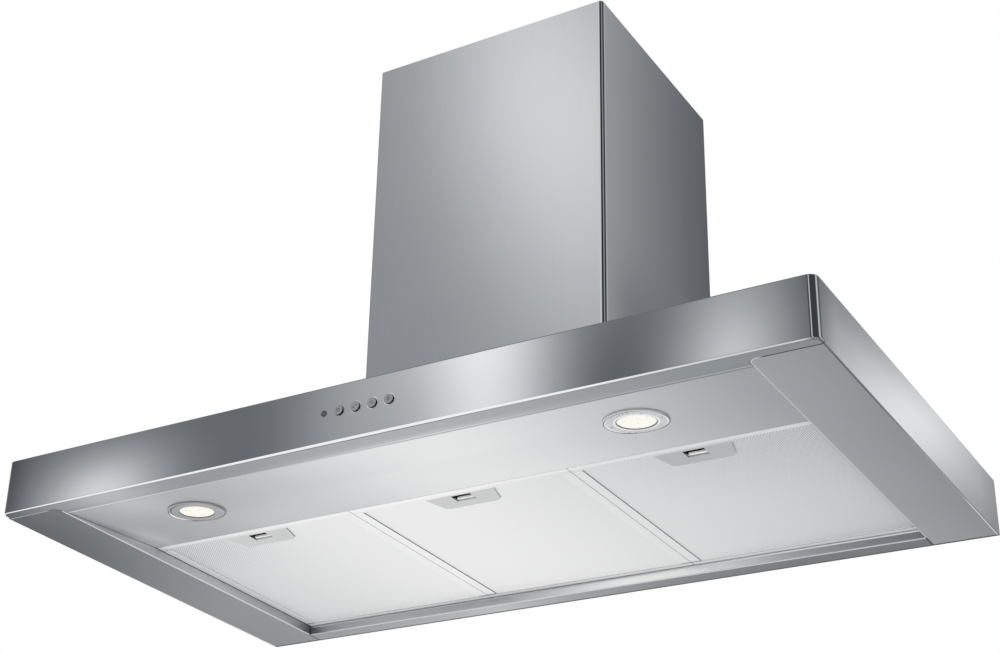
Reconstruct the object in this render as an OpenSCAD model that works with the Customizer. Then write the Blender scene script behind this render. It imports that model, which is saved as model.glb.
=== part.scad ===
// Wall-mounted box range hood with a telescopic chimney, three hinged grease filters,
// two lamps, a row of push buttons and a centrifugal blower.
// X runs along the wall, the wall is the plane Y = 0, the front faces -Y,
// and Z = 0 is the underside of the canopy.

/* [Canopy] */
// Overall width of the canopy
canopy_w = 900; // [840:10:1100]
// Depth of the canopy from the wall to its front
canopy_d = 500; // [490:5:560]
// Height of the canopy's band
canopy_h = 60; // [56:1:80]
// Thickness of the stainless sheet
sheet = 1; // [0.8:0.1:1.2]
// Outer radius of the canopy's two front corners
corner_r = 8.5; // [5:0.5:12]
// Depth of the lip folded in under the front
front_lip = 26; // [24:1:34]
// Width of the flat panel under each side
side_panel_w = 68; // [50:1:90]
// Distance from the front to the side panels' front edge
side_panel_setback = 13; // [10:1:14]
// Radius of the side panels' inner front corner
panel_corner_r = 8; // [4:1:9]
// Depth of the lip folded in under the rear
rear_lip = 24; // [20:1:34]
// Radius of the rolled edge that the filters turn on
bead_r = 1.2; // [1:0.1:1.6]
// Height of the filters' lower face above the canopy's underside
recess = 11; // [9:0.5:14]
// Gap between neighbouring bottom sheets
joint_gap = 0.5; // [0.3:0.1:0.8]
// Distance from the front to the lamp panel's rear edge
lamp_panel_reach = 175; // [160:1:190]
// Height of the folded flanges that stiffen the sheets
flange = 12; // [8:1:14]

/* [Filters] */
// Height of a filter cassette
filter_t = 9; // [8:0.5:11]
// Width of the rim round a filter's mesh
filter_rim = 11; // [8:1:14]
// Thickness of the filter frame's walls
filter_wall = 1; // [0.8:0.1:1.2]
// Gap between neighbouring filters
filter_gap = 0.6; // [0.5:0.1:1]
// Thickness of the two perforated sheets in a filter
grille_t = 0.8; // [0.6:0.1:1]
// Thickness of the corrugated mesh layer
pad_t = 0.5; // [0.4:0.1:0.8]
// Length of one wave of the mesh layer
pad_wave = 10; // [8:1:14]
// Width of each of the two hooks at a filter's rear edge
hook_w = 40; // [30:1:60]
// Distance between the centres of a filter's two hooks
hook_pitch = 150; // [120:5:180]

/* [Catches] */
// Width of the catch housing at the filter's front edge
catch_w = 80; // [70:1:90]
// Width of the catch housing at its rear edge, before rounding
catch_rear_w = 64; // [50:1:66]
// Depth of the catch housing behind the filter's rim
catch_d = 31; // [28:1:36]
// Radius of the catch housing's rear corners
catch_r = 8; // [4:1:10]
// Wall of the catch housing
catch_wall = 1.2; // [1:0.1:1.4]
// Width of the finger slot
slot_w = 22; // [20:1:28]
// Depth of the finger slot
slot_d = 15; // [14:0.5:17]
// Distance from the filter's rim to the finger slot
slot_setback = 2; // [1.5:0.5:3]
// Width of the bolt that locks into the canopy
bolt_w = 24; // [18:1:30]
// Distance that the bolt stands out of the filter
bolt_reach = 4; // [3:0.5:4.5]
// Travel of the catch slide
catch_travel = 5; // [5:0.5:5.5]
// Thickness of the catch slide
slide_t = 2.5; // [2:0.1:2.8]
// Mean radius of the catch spring
spring_r = 2; // [1.6:0.1:2.2]
// Wire diameter of the catch spring
spring_wire = 0.5; // [0.4:0.05:0.6]

/* [Lamps] */
// Distance from each side of the canopy to its lamp, before the shift
lamp_inset = 198; // [170:2:230]
// Distance of the lamps' middle from the hood's centre line
lamp_shift = -11; // [-20:1:20]
// Distance from the front to the lamps
lamp_setback = 95; // [85:1:105]
// Outer diameter of the lamp bezel
bezel_d = 62; // [58:1:66]
// Height that the bezel stands below the panel
bezel_t = 1.5; // [1.4:0.1:2.5]
// Diameter of the bezel's spigot
spigot_d = 52; // [50:1:54]
// Diameter of the lens that shows
lens_d = 36; // [34:1:42]
// Length of the lamp body above the panel
lamp_body_h = 24; // [18:1:28]

/* [Controls] */
// Distance of the controls' middle from the hood's centre line
controls_x = -4; // [-20:1:20]
// Height of the controls above the canopy's underside
controls_z = 32.5; // [28:0.5:34]
// Distance between neighbouring buttons
button_pitch = 18.8; // [16:0.1:22]
// Diameter of a push button
button_d = 10; // [9:0.1:12]
// Height that a button stands out of the front
button_proud = 1.8; // [1.8:0.1:2.5]
// Radial gap between a button and its hole
button_gap = 0.3; // [0.2:0.05:0.5]
// Travel of a push button
button_travel = 1.5; // [1:0.1:1.7]
// Diameter of a button's stem
stem_d = 5; // [4:0.1:6]
// Diameter of the pilot light
led_d = 6.2; // [4:0.1:7]
// Distance from the pilot light to the first button
led_gap = 17.2; // [15:0.1:20]

/* [Blower] */
// Gap between the blower box's base flange and the outside of the chimney
blower_side_gap = 11; // [6:1:16]
// Gap between the blower box's front and the outside of the chimney
blower_front_gap = 20; // [12:1:24]
// Width of the blower box's base flange
base_flange = 12; // [10:1:15]
// Height of the blower box
blower_h = 260; // [250:1:300]
// Distance from the wall to the blower box
blower_setback = 14; // [10:1:15]
// Gap between the scroll and the blower box's rear wall
scroll_rear_gap = 8.4; // [4:0.2:10]
// Gap between the scroll and the blower box's front wall
scroll_front_gap = 23; // [20:1:28]
// Height of the scroll's lowest point above the canopy
scroll_bottom_gap = 6.7; // [4:0.1:12]
// Length of the impeller
impeller_len = 100; // [90:1:104]
// Number of impeller blades
blade_count = 36; // [24:1:40]
// Depth of the impeller's ring of blades
blade_depth = 13; // [10:1:16]
// Thickness of an impeller blade
blade_t = 1; // [0.8:0.1:1.4]
// Gap between the impeller and the scroll at its tongue
tongue_gap = 8; // [6:1:9]
// Growth of the scroll's radius from the tongue to the outlet
scroll_growth = 29; // [24:1:30]
// Wall of the scroll
scroll_wall = 2; // [1.6:0.1:2.4]
// Gap between the motor and the scroll's inlet
motor_gap = 18; // [14:1:24]
// Length of the motor
motor_len = 72; // [60:1:74]
// Radius of the motor shaft
shaft_r = 4; // [3:0.5:5]
// Radial running gap round shafts, pins and stems
running_gap = 0.05; // [0.03:0.01:0.08]

/* [Outlet] */
// Outer radius of the duct collar
collar_r = 74.5; // [70:0.5:76]
// Length of the duct collar
collar_h = 55; // [45:1:60]
// Wall of the duct collar
collar_wall = 1.5; // [1.2:0.1:2]
// Radius of the flaps' hinge pin
flap_pin_r = 2; // [1.5:0.1:2.5]
// Thickness of a non-return flap
flap_t = 1.5; // [1:0.1:2]

/* [Electrics] */
// Radius of the motor capacitor
capacitor_r = 15; // [12:0.5:17]
// Length of the motor capacitor
capacitor_len = 60; // [50:1:66]
// Width of the terminal box
terminal_w = 80; // [70:1:84]
// Depth of the terminal box
terminal_d = 55; // [46:1:58]
// Height of the terminal box
terminal_h = 30; // [26:1:40]
// Radius of the cable gland's stub
stub_r = 6.5; // [6:0.1:7.5]

/* [Chimney] */
// Width of the chimney
chimney_w = 296; // [292:1:320]
// Depth of the chimney from the wall
chimney_d = 278; // [276:1:300]
// Height of the lower chimney above the canopy
chimney_h = 537; // [450:1:600]
// Outer radius of the chimney's front corners
chimney_r = 4; // [3:0.5:6]
// Width of the chimney's rear flanges
chimney_flange = 15; // [10:1:16]
// Gap between the two chimney sections
chimney_gap = 0.8; // [0.6:0.1:0.9]
// Distance of the upper section's top below the lower one's at rest
upper_drop = 2; // [1:1:10]
// Height of the chimney's wall bracket
bracket_h = 28; // [20:1:40]
// Thickness of the chimney's wall bracket
bracket_t = 1.5; // [1.2:0.1:2]

/* [Fixings] */
// Diameter of the wall fixing holes
wall_hole_d = 8; // [7:0.5:9]
// Distance from the wall fixing holes to the hanging plate's sides
wall_hole_inset = 20; // [15:1:40]
// Distance up between the wall fixing holes
wall_hole_rise = 260; // [240:5:270]
// Height of the lower wall fixing holes
wall_hole_z = 40; // [36:1:46]
// Gap between the hanging plate behind the blower and the chimney's rear flanges
hanger_gap = 13; // [8:1:18]
// Distance from the chimney bracket's holes to its steps
bracket_hole_inset = 30; // [20:1:50]
// Diameter of the chimney bracket's holes
bracket_hole_d = 6; // [5:0.5:7]
// Diameter of the hole for the mains cable
cable_hole_d = 9; // [8:0.5:10]
// Diameter of the small screws' shanks
screw_d = 4; // [3.5:0.1:4.5]
// Diameter of the small screws' heads
screw_head_d = 7.5; // [7:0.1:8]
// Height of the small screws' heads
screw_head_h = 2.6; // [2:0.1:3]

/* [Hidden] */
$fn = 64;
// Overshoot of cutting shapes
cut = 1;
// Clearance between pieces that touch lightly
seat = 0.3;
FILTERS = 3;
BUTTONS = 4;
SIDES = [-1, 1];

steel = "#9fa3a7";
steel_dark = "#7f8489";
zinc = "#b4b8ba";
filter_metal = "#e2e4e5";
plastic_dark = "#2c2e31";
plastic_grey = "#85898d";

front_y = -canopy_d;
inner_half = canopy_w / 2 - side_panel_w;
panel_half = inner_half - joint_gap;
lip_y = front_y + front_lip;
panel_rear_y = front_y + lamp_panel_reach;
panel_slope = atan2(recess - sheet, panel_rear_y - lip_y);
panel_tab = 6;

hook_t = 0.8;
bead_y = -rear_lip + sheet / 2;
bead_z = recess - seat - bead_r;

filter_front_y = panel_rear_y + joint_gap;
filter_rear_y = bead_y + bead_r + seat + hook_t;
filter_pitch = (2 * inner_half - filter_gap) / FILTERS;
filter_w = filter_pitch - filter_gap;
filter_top = recess + filter_t;
window_front_y = filter_front_y + filter_rim;
rail_over = 4;
rail_top = filter_top + rail_over;

lower_grille_z = recess + filter_wall;
upper_grille_z = filter_top - filter_wall - grille_t;
slide_z = recess + catch_wall + seat;
slide_len = 25;
slide_front_y = window_front_y - 4;
slide_rear_y = slide_front_y + slide_len;
slot_y = window_front_y + slot_setback;
spring_seat_t = 2;
spring_z = (slide_z + upper_grille_z) / 2;
housing_rear_y = window_front_y + catch_d - catch_wall;

button_y = front_y + sheet;
flange_t = 1.2;
control_depth = 24;
stop_gap = 1;
guide_y = button_y + seat + flange_t + button_travel + stop_gap;
guide_t = 3;
switch_depth = 11;
switch_half_h = 8;
stem_end = 3;
stem_end_y = guide_y + guide_t + stem_end;
board_t = 1.6;
housing_wall = 2;
control_half_h = 14;
control_margin = 14;
control_half_w = button_pitch * 2 + control_margin;
led_x = controls_x - button_pitch - led_gap;

blower_w = chimney_w - 2 * (base_flange + blower_side_gap);
blower_d = chimney_d - blower_setback - blower_front_gap;
blower_front_y = -blower_setback - blower_d;
blower_top = canopy_h + blower_h;
mouth_inset = 15;
mouth_front_y = max(blower_front_y + mouth_inset, panel_rear_y + 5);

// Angle from the scroll's front to its tongue, and the share of the growth at its rear and foot
tongue_angle = 60;
rear_share = (180 - tongue_angle) / (360 - tongue_angle);
foot_share = (270 - tongue_angle) / (360 - tongue_angle);
scroll_span = blower_d - 2 * (sheet + scroll_wall) - scroll_rear_gap - scroll_front_gap;
scroll_r0 = (scroll_span - (1 + rear_share) * scroll_growth) / 2;
scroll_r1 = scroll_r0 + scroll_growth;
scroll_rear = scroll_r0 + rear_share * scroll_growth + scroll_wall;
scroll_foot = scroll_r0 + foot_share * scroll_growth + scroll_wall;
scroll_y = -blower_setback - sheet - scroll_rear_gap - scroll_rear;
scroll_z = canopy_h + scroll_bottom_gap + scroll_foot;
scroll_half = impeller_len / 2 + 10;
outlet_rear = 20;
outlet_y = scroll_y + (outlet_rear - scroll_r1) / 2;
impeller_r = scroll_r0 - tongue_gap;
blade_inner_r = impeller_r - blade_depth;
inlet_r = blade_inner_r;
motor_r = inlet_r - motor_gap;
motor_end_x = -12;
motor_cap = 4;
hub_r = 10;
hub_len = 14;
disc_x = 10;
disc_t = 2;

collar_z = blower_top;
ledge_w = 4;
ledge_t = 2;
flap_ledge_z = collar_z + 6;
barrel_r = flap_pin_r + 1.5;
flap_axis_z = flap_ledge_z + ledge_t + seat + barrel_r;
flap_gap = 0.8;
flap_r = collar_r - collar_wall - flap_gap;
flap_fold = barrel_r + 0.6;
hinge_inset = 11;
hinge_half = collar_r - collar_wall - hinge_inset;
collar_flange = 9;
collar_flange_t = 2;

electrics_inset = 20;
capacitor_x = electrics_inset - blower_w / 2;
capacitor_y = -50;
terminal_wall = 2;
terminal_gap = 2.5;
terminal_low = [blower_w / 2 - electrics_inset - terminal_w,
    outlet_y + collar_r + collar_flange + terminal_gap, blower_top];
terminal_high = terminal_low + [terminal_w, terminal_d, terminal_h];
gland_x = (terminal_low[0] + terminal_high[0]) / 2;
gland_y = (terminal_low[1] + terminal_high[1]) / 2;
stub_len = 4;

chimney_top = canopy_h + chimney_h;
upper_half = chimney_w / 2 - sheet - chimney_gap;
upper_front_y = -chimney_d + sheet + chimney_gap;
upper_rear_y = -sheet - chimney_gap;
upper_bottom = canopy_h + seat;
upper_top = chimney_top - upper_drop;
bracket_drop = 8;
bracket_z = upper_top - bracket_h - bracket_drop;
hanger_half = chimney_w / 2 - chimney_flange - hanger_gap;
wall_hole_x = hanger_half - wall_hole_inset;
bracket_gap = 3;
bracket_half = chimney_w / 2 - chimney_flange - bracket_gap;
bracket_hole_x = bracket_half - bracket_hole_inset;
bracket_step_y = -22;
bracket_screw_y = -33;

front_screw_y = max(blower_front_y + 14, panel_rear_y + 12);
blower_fixings = [for (sx = SIDES) for (y = [front_screw_y, -blower_setback - 16])
    [sx * (blower_w / 2 + base_flange / 2), y]];

// Extrudes an outline drawn in Y and Z along X
module along_x(x0, x1) {
    translate([x0, 0, 0]) rotate([90, 0, 90]) linear_extrude(x1 - x0) children();
}

// Turns a shape drawn along Z so that it runs along +Y
module along_y() {
    rotate([-90, 0, 0]) children();
}

// A box given by its two corners
module span(low, high) {
    translate(low) cube(high - low);
}

// A plan outline with its two front corners rounded
module rounded_plan(half, front, rear, r) {
    translate([-half, front + r]) square([2 * half, rear - front - r]);
    translate([r - half, front]) square([2 * (half - r), 2 * r]);
    for (s = SIDES) translate([s * (half - r), front + r]) circle(r = r);
}

// Plan outline of a folded three-sided sheet with flanges at its rear
module folded_plan(half, front, rear, r, rear_flange) {
    difference() {
        rounded_plan(half, front, rear, r);
        rounded_plan(half - sheet, front + sheet, rear - sheet, r - sheet);
        translate([rear_flange - half, rear - 2 * sheet])
            square([2 * (half - rear_flange), 3 * sheet]);
    }
}

// Plan outline of the right side panel, grown by a gap
module side_panel_plan(grow) {
    r = panel_corner_r + grow;
    x0 = inner_half - grow;
    x1 = canopy_w / 2 - sheet;
    y0 = front_y + side_panel_setback - grow;
    translate([x0 + r, y0]) square([x1 - x0 - r, -sheet - y0]);
    translate([x0, y0 + r]) square([2 * r, -sheet - y0 - r]);
    translate([x0 + r, y0 + r]) circle(r = r);
}

module both_sides() {
    children();
    mirror([1, 0, 0]) children();
}

module front_band() {
    color(steel) difference() {
        union() {
            difference() {
                linear_extrude(canopy_h) rounded_plan(canopy_w / 2, front_y, 0, corner_r);
                translate([0, 0, -cut]) linear_extrude(canopy_h + 2 * cut)
                    rounded_plan(canopy_w / 2 - sheet, front_y + sheet, cut, corner_r - sheet);
            }
            linear_extrude(sheet) difference() {
                intersection() {
                    rounded_plan(canopy_w / 2, front_y, 0, corner_r);
                    translate([-canopy_w / 2, front_y]) square([canopy_w, front_lip]);
                }
                both_sides() side_panel_plan(joint_gap);
            }
        }
        for (i = [1:BUTTONS]) translate([button_x(i), front_y - cut, controls_z])
            along_y() cylinder(r = button_d / 2 + button_gap, h = sheet + 2 * cut);
        translate([led_x, front_y - cut, controls_z])
            along_y() cylinder(d = led_d, h = sheet + 2 * cut);
    }
}

module top_cover() {
    color(steel) difference() {
        translate([0, 0, canopy_h - sheet]) linear_extrude(sheet)
            rounded_plan(canopy_w / 2 - sheet, front_y + sheet, -sheet, corner_r - sheet);
        span([mouth_inset - blower_w / 2, mouth_front_y, canopy_h - 2 * sheet],
             [blower_w / 2 - mouth_inset, -blower_setback - mouth_inset, canopy_h + sheet]);
        for (p = blower_fixings) translate([p[0], p[1], canopy_h - 2 * sheet])
            cylinder(d = screw_d, h = 3 * sheet);
    }
}

module back_wall() {
    hanger_margin = 20;
    hanger_top = wall_hole_z + wall_hole_rise + hanger_margin;
    color(zinc) difference() {
        union() {
            span([sheet - canopy_w / 2, -sheet, 0], [canopy_w / 2 - sheet, 0, canopy_h]);
            span([-hanger_half, -sheet, 0], [hanger_half, 0, hanger_top]);
            span([-panel_half, -rear_lip, 0], [panel_half, 0, sheet]);
            span([-panel_half, -rear_lip, 0], [panel_half, sheet - rear_lip, bead_z]);
            translate([-panel_half, bead_y, bead_z]) rotate([0, 90, 0])
                cylinder(r = bead_r, h = 2 * panel_half);
        }
        for (sx = SIDES) for (z = [wall_hole_z, wall_hole_z + wall_hole_rise])
            translate([sx * wall_hole_x, -sheet - cut, z])
                along_y() cylinder(d = wall_hole_d, h = sheet + 2 * cut);
    }
}

module side_panel() {
    x1 = canopy_w / 2 - sheet;
    y0 = front_y + side_panel_setback;
    color(steel) {
        linear_extrude(sheet) side_panel_plan(0);
        span([inner_half, y0 + panel_corner_r, 0], [inner_half + sheet, -sheet, rail_top]);
        span([x1 - sheet, y0, 0], [x1, -sheet, flange]);
    }
}

module lamp_panel() {
    color(steel) difference() {
        along_x(-panel_half, panel_half) polygon([
            [lip_y - panel_tab, sheet], [lip_y, sheet], [panel_rear_y, recess],
            [panel_rear_y, recess + sheet], [lip_y, 2 * sheet], [lip_y - panel_tab, 2 * sheet]]);
        for (s = SIDES) at_lamp(s) translate([0, 0, -cut])
            cylinder(d = spigot_d + 2 * seat, h = sheet + 2 * cut);
    }
}

module plenum_divider() {
    y = panel_rear_y - sheet;
    top = canopy_h - sheet;
    color(zinc) difference() {
        union() {
            span([-panel_half, y, recess + sheet], [panel_half, panel_rear_y, top]);
            span([-panel_half, y - flange, top - sheet], [panel_half, panel_rear_y, top]);
        }
        for (i = [1:FILTERS])
            span([filter_x(i) - bolt_w / 2 - 2 * seat, y - cut, slide_z - seat],
                 [filter_x(i) + bolt_w / 2 + 2 * seat, panel_rear_y + cut,
                  slide_z + slide_t + 2 * seat]);
    }
}

// Moves to the lamp on one side, with Z square to the lamp panel and Z = 0 on its lower face
module at_lamp(side) {
    rise = (lamp_setback - front_lip) * tan(panel_slope);
    x = lamp_shift + side * (canopy_w / 2 - lamp_inset);
    translate([x, front_y + lamp_setback, sheet + rise]) rotate([panel_slope, 0, 0]) children();
}

module lamp_bezel(side) {
    rim = 1.6;
    r = bezel_d / 2;
    bore = lens_d / 2 + seat;
    spigot = spigot_d / 2;
    color(plastic_grey) at_lamp(side) difference() {
        rotate_extrude() polygon([
            [bore, 0], [bore, 0.8 - bezel_t], [bore + 1, 0.4 - bezel_t],
            [r - rim - 1, 0.4 - bezel_t], [r - rim, -bezel_t], [r - 0.5, -bezel_t],
            [r, 0.6 - bezel_t], [r, -0.02], [spigot, -0.02], [spigot, 8],
            [spigot - 1.4, 8], [spigot - 1.4, 0]]);
        for (s = SIDES) translate([s * (r - 6), 0, -bezel_t - cut]) cylinder(r = 1, h = cut + 1);
    }
}

module lamp_lens(side) {
    color("#fff8e4") at_lamp(side) rotate_extrude() polygon([
        [0, 0.5 - bezel_t], [lens_d / 2 - 1.5, 0.7 - bezel_t], [lens_d / 2, 1.2 - bezel_t],
        [lens_d / 2, 0], [spigot_d / 2 - 1.6, 0], [spigot_d / 2 - 1.6, 2], [0, 2]]);
}

module lamp_body(side) {
    r = spigot_d / 2 - 1.6;
    fins = 4;
    pitch = (lamp_body_h - 10) / fins;
    color(zinc) at_lamp(side) {
        translate([0, 0, 2]) cylinder(r = r, h = 6);
        translate([0, 0, 2]) cylinder(r = r - 6, h = lamp_body_h - 2);
        for (i = [1:fins]) translate([0, 0, 7 + i * pitch - pitch / 2])
            cylinder(r = r, h = pitch / 2);
    }
}

function button_x(i) = controls_x + (i - 2) * button_pitch;
function filter_x(i) = (i - 2) * filter_pitch;

module control_housing() {
    inner_w = control_half_w - housing_wall;
    inner_h = control_half_h - housing_wall;
    color(plastic_dark) difference() {
        span([controls_x - control_half_w, button_y, controls_z - control_half_h],
             [controls_x + control_half_w, button_y + control_depth, controls_z + control_half_h]);
        span([controls_x - inner_w, button_y - cut, controls_z - inner_h],
             [controls_x + inner_w, guide_y, controls_z + inner_h]);
        span([controls_x - inner_w, guide_y + guide_t, controls_z - inner_h],
             [controls_x + inner_w, button_y + control_depth + cut, controls_z + inner_h]);
        for (i = [1:BUTTONS]) translate([button_x(i), guide_y - cut, controls_z])
            along_y() cylinder(r = stem_d / 2 + running_gap, h = guide_t + 2 * cut);
    }
}

module switch_block() {
    y = guide_y + guide_t;
    color("#3f5f52") difference() {
        span([button_x(1) - 0.6 * button_pitch, y, controls_z - switch_half_h],
             [button_x(BUTTONS) + 0.6 * button_pitch, y + switch_depth, controls_z + switch_half_h]);
        for (i = [1:BUTTONS]) translate([button_x(i), y - cut, controls_z])
            along_y() cylinder(r = stem_d / 2 + seat, h = stem_end + cut + button_travel + cut);
    }
}

module control_board() {
    y = guide_y + guide_t + switch_depth;
    half_w = control_half_w - housing_wall;
    half_h = control_half_h - housing_wall;
    color("#2f6b46") span([controls_x - half_w, y, controls_z - half_h],
                          [controls_x + half_w, y + board_t, controls_z + half_h]);
}

module led_lens() {
    proud = 0.4;
    collar = led_d + 2;
    color(plastic_dark) translate([led_x, 0, controls_z]) along_y() {
        translate([0, 0, front_y - proud]) cylinder(d = led_d, h = guide_y - front_y + proud);
        translate([0, 0, button_y]) cylinder(d = collar, h = 2);
    }
}

module button(i) {
    chamfer = 0.4;
    collar = button_d + 2;
    color(steel) translate([button_x(i), 0, controls_z]) along_y() {
        translate([0, 0, front_y - button_proud + chamfer])
            cylinder(d = button_d, h = button_proud + sheet + seat);
        translate([0, 0, front_y - button_proud])
            cylinder(d1 = button_d - 2 * chamfer, d2 = button_d, h = chamfer);
        translate([0, 0, button_y + seat]) cylinder(d = collar, h = flange_t);
        translate([0, 0, button_y + seat]) cylinder(d = stem_d, h = stem_end_y - button_y - seat);
    }
}

// Plan outline of a catch housing at the middle of a filter's front edge
module catch_plan(grow) {
    half = catch_w / 2 + grow;
    rear_half = catch_rear_w / 2 + grow;
    r = catch_r + grow;
    rear = window_front_y + catch_d + grow;
    square_front = window_front_y - grow;
    slant = atan2(half - rear_half, rear - square_front);
    difference() {
        polygon([[-half, square_front], [half, square_front], [rear_half, rear],
                 [-rear_half, rear]]);
        for (s = SIDES) scale([s, 1]) difference() {
            translate([rear_half - r, rear - r]) square(2 * r);
            translate([rear_half - r + r * sin(slant), rear - r]) circle(r = r);
            translate([rear_half - r - cut, rear - 3 * r]) square([4 * r, 2 * r]);
        }
    }
}

module filter_frame(i) {
    inset = filter_wall;
    x = filter_w / 2;
    color(filter_metal) translate([filter_x(i), 0, 0]) difference() {
        union() {
            span([-x, filter_front_y, recess], [x, filter_rear_y, filter_top]);
            for (s = SIDES) span(
                [s * hook_pitch / 2 - hook_w / 2, filter_rear_y - hook_t, bead_z - 0.2],
                [s * hook_pitch / 2 + hook_w / 2, filter_rear_y, recess + cut]);
        }
        span([inset - x, filter_front_y + inset, recess + inset],
             [x - inset, filter_rear_y - inset, filter_top - inset]);
        span([filter_rim - x, window_front_y, recess - cut],
             [x - filter_rim, filter_rear_y - filter_rim, filter_top + cut]);
        span([-bolt_w / 2 - seat, filter_front_y - cut, slide_z - seat],
             [bolt_w / 2 + seat, filter_front_y + inset + cut, slide_z + slide_t + seat]);
    }
}

module filter_grille(i) {
    x = filter_w / 2 - filter_wall;
    y0 = filter_front_y + filter_wall;
    y1 = filter_rear_y - filter_wall;
    color(filter_metal) translate([filter_x(i), 0, 0]) {
        difference() {
            span([-x, y0, lower_grille_z], [x, y1, lower_grille_z + grille_t]);
            translate([0, 0, lower_grille_z - cut]) linear_extrude(grille_t + 2 * cut) {
                catch_plan(0);
                translate([-catch_w / 2, y0 - cut])
                    square([catch_w, window_front_y - y0 + 2 * cut]);
            }
        }
        span([-x, y0, upper_grille_z], [x, y1, upper_grille_z + grille_t]);
    }
}

// A corrugated mesh layer between the two perforated sheets
module filter_pad(i) {
    low = lower_grille_z + grille_t;
    step = pad_wave / 2;
    rise = upper_grille_z - low - pad_t;
    half_count = floor((filter_w / 2 - filter_wall) / step);
    xs = [for (k = [-half_count:half_count]) k * step];
    heights = [for (k = [-half_count:half_count]) low + (k % 2 == 0 ? 0 : rise)];
    last = len(xs) - 1;
    outline = concat([for (k = [0:last]) [xs[k], heights[k]]],
                     [for (k = [last:-1:0]) [xs[k], heights[k] + pad_t]]);
    y0 = filter_front_y + filter_wall;
    color(filter_metal) translate([filter_x(i), 0, 0]) difference() {
        translate([0, filter_rear_y - filter_wall, 0]) rotate([90, 0, 0])
            linear_extrude(filter_rear_y - filter_wall - y0) polygon(outline);
        translate([0, 0, low - cut]) linear_extrude(filter_t) {
            catch_plan(0);
            translate([-catch_w / 2, y0 - cut]) square([catch_w, window_front_y - y0 + 2 * cut]);
        }
    }
}

module catch_housing(i) {
    front = filter_front_y + filter_wall;
    top = upper_grille_z;
    cavity_z = recess + catch_wall;
    color(plastic_grey) translate([filter_x(i), 0, 0]) difference() {
        union() {
            translate([0, 0, recess]) linear_extrude(top - recess) catch_plan(0);
            span([-catch_w / 2, front, recess + filter_wall],
                 [catch_w / 2, window_front_y + cut, top]);
        }
        translate([0, 0, cavity_z]) linear_extrude(top) catch_plan(-catch_wall);
        span([-bolt_w / 2 - seat - 2, front - cut, cavity_z],
             [bolt_w / 2 + seat + 2, window_front_y + 2 * catch_wall, top + cut]);
        span([-slot_w / 2, slot_y, recess - cut], [slot_w / 2, slot_y + slot_d, recess + filter_t]);
    }
}

module catch_slide(i) {
    lip_t = 1.2;
    slot_margin = 1.5;
    lip_front = slot_y + slot_d - slot_margin - catch_travel - lip_t;
    body_half = bolt_w / 2 + 1.5;
    tip_y = filter_front_y - bolt_reach;
    tongue_half = slot_w / 2 - lip_t;
    color("#eceeef") translate([filter_x(i), 0, 0]) {
        difference() {
            union() {
                span([-body_half, slide_front_y, slide_z],
                     [body_half, slide_rear_y, slide_z + slide_t]);
                span([-bolt_w / 2, tip_y, slide_z], [bolt_w / 2, slide_front_y, slide_z + slide_t]);
            }
            span([-tongue_half, slot_y - 1, slide_z - cut],
                 [tongue_half, lip_front, slide_z + slide_t + cut]);
        }
        translate([0, lip_front, slide_z + seat]) rotate([-90, 0, 0]) linear_extrude(lip_t)
            intersection() {
                square([2 * tongue_half, 4], center = true);
                translate([0, -1]) circle(r = tongue_half, $fn = 48);
            }
        span([-5, slide_rear_y - spring_seat_t, slide_z],
             [5, slide_rear_y, upper_grille_z - seat]);
    }
}

// Points round the wire at one place along a coil that runs along Y
function wire_ring(a, y, r, wire, sides) =
    [for (k = [0:sides - 1]) let (b = 360 * k / sides, rr = r + wire / 2 * cos(b))
        [rr * cos(a), y + wire / 2 * sin(b), rr * sin(a)]];

// A coil spring along +Y from the origin, as one unbroken tube
module coil(length, r, wire, turns) {
    sides = 6;
    steps = 8 * turns;
    rings = [for (i = [0:steps])
        wire_ring(360 * i / 8, wire / 2 + (length - wire) * i / steps, r, wire, sides)];
    points = [for (ring = rings) each ring];
    body = [for (i = [0:steps - 1]) for (k = [0:sides - 1]) let (n = (k + 1) % sides, p = i * sides)
        each [[p + k, p + n, p + sides + n], [p + k, p + sides + n, p + sides + k]]];
    first = [for (k = [1:sides - 2]) [0, k + 1, k]];
    end = steps * sides;
    last = [for (k = [1:sides - 2]) [end, end + k, end + k + 1]];
    polyhedron(points, concat(body, first, last));
}

module catch_spring(i) {
    gap = 0.1;
    color(steel) translate([filter_x(i), slide_rear_y + gap, spring_z])
        coil(housing_rear_y - slide_rear_y - 2 * gap, spring_r, spring_wire, 5);
}

// Outline of the scroll and its outlet in Y and Z about the axis, grown by a wall,
// with the outlet raised past the blower box's top by an overshoot
module scroll_outline(grow, over) {
    steps = 50;
    top = blower_top - sheet - scroll_z;
    tongue = [-scroll_r0 * cos(tongue_angle), scroll_r0 * sin(tongue_angle)];
    lean = atan2(outlet_rear - tongue[0], top - tongue[1]);
    shift = grow / cos(lean);
    polygon([for (i = [0:steps]) let (t = i / steps, a = tongue_angle + t * (360 - tongue_angle),
        r = scroll_r0 + scroll_growth * t + grow) [-r * cos(a), r * sin(a)]]);
    polygon([[0, 0], [-scroll_r1 - grow, 0], [-scroll_r1 - grow, top + over],
             [outlet_rear + shift, top + over], [outlet_rear + shift, top],
             [tongue[0] + shift, tongue[1]]]);
}

module scroll_half(side) {
    outer = side * scroll_half;
    inner = side * (scroll_half - scroll_wall);
    color(plastic_dark) translate([0, scroll_y, scroll_z]) difference() {
        along_x(min(0, outer), max(0, outer)) scroll_outline(scroll_wall, 0);
        along_x(min(-side * cut, inner), max(-side * cut, inner)) scroll_outline(0, cut);
        translate([outer - side * scroll_wall * 2, 0, 0]) rotate([0, side * 90, 0])
            cylinder(r = inlet_r, h = scroll_wall * 4);
    }
}

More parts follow.
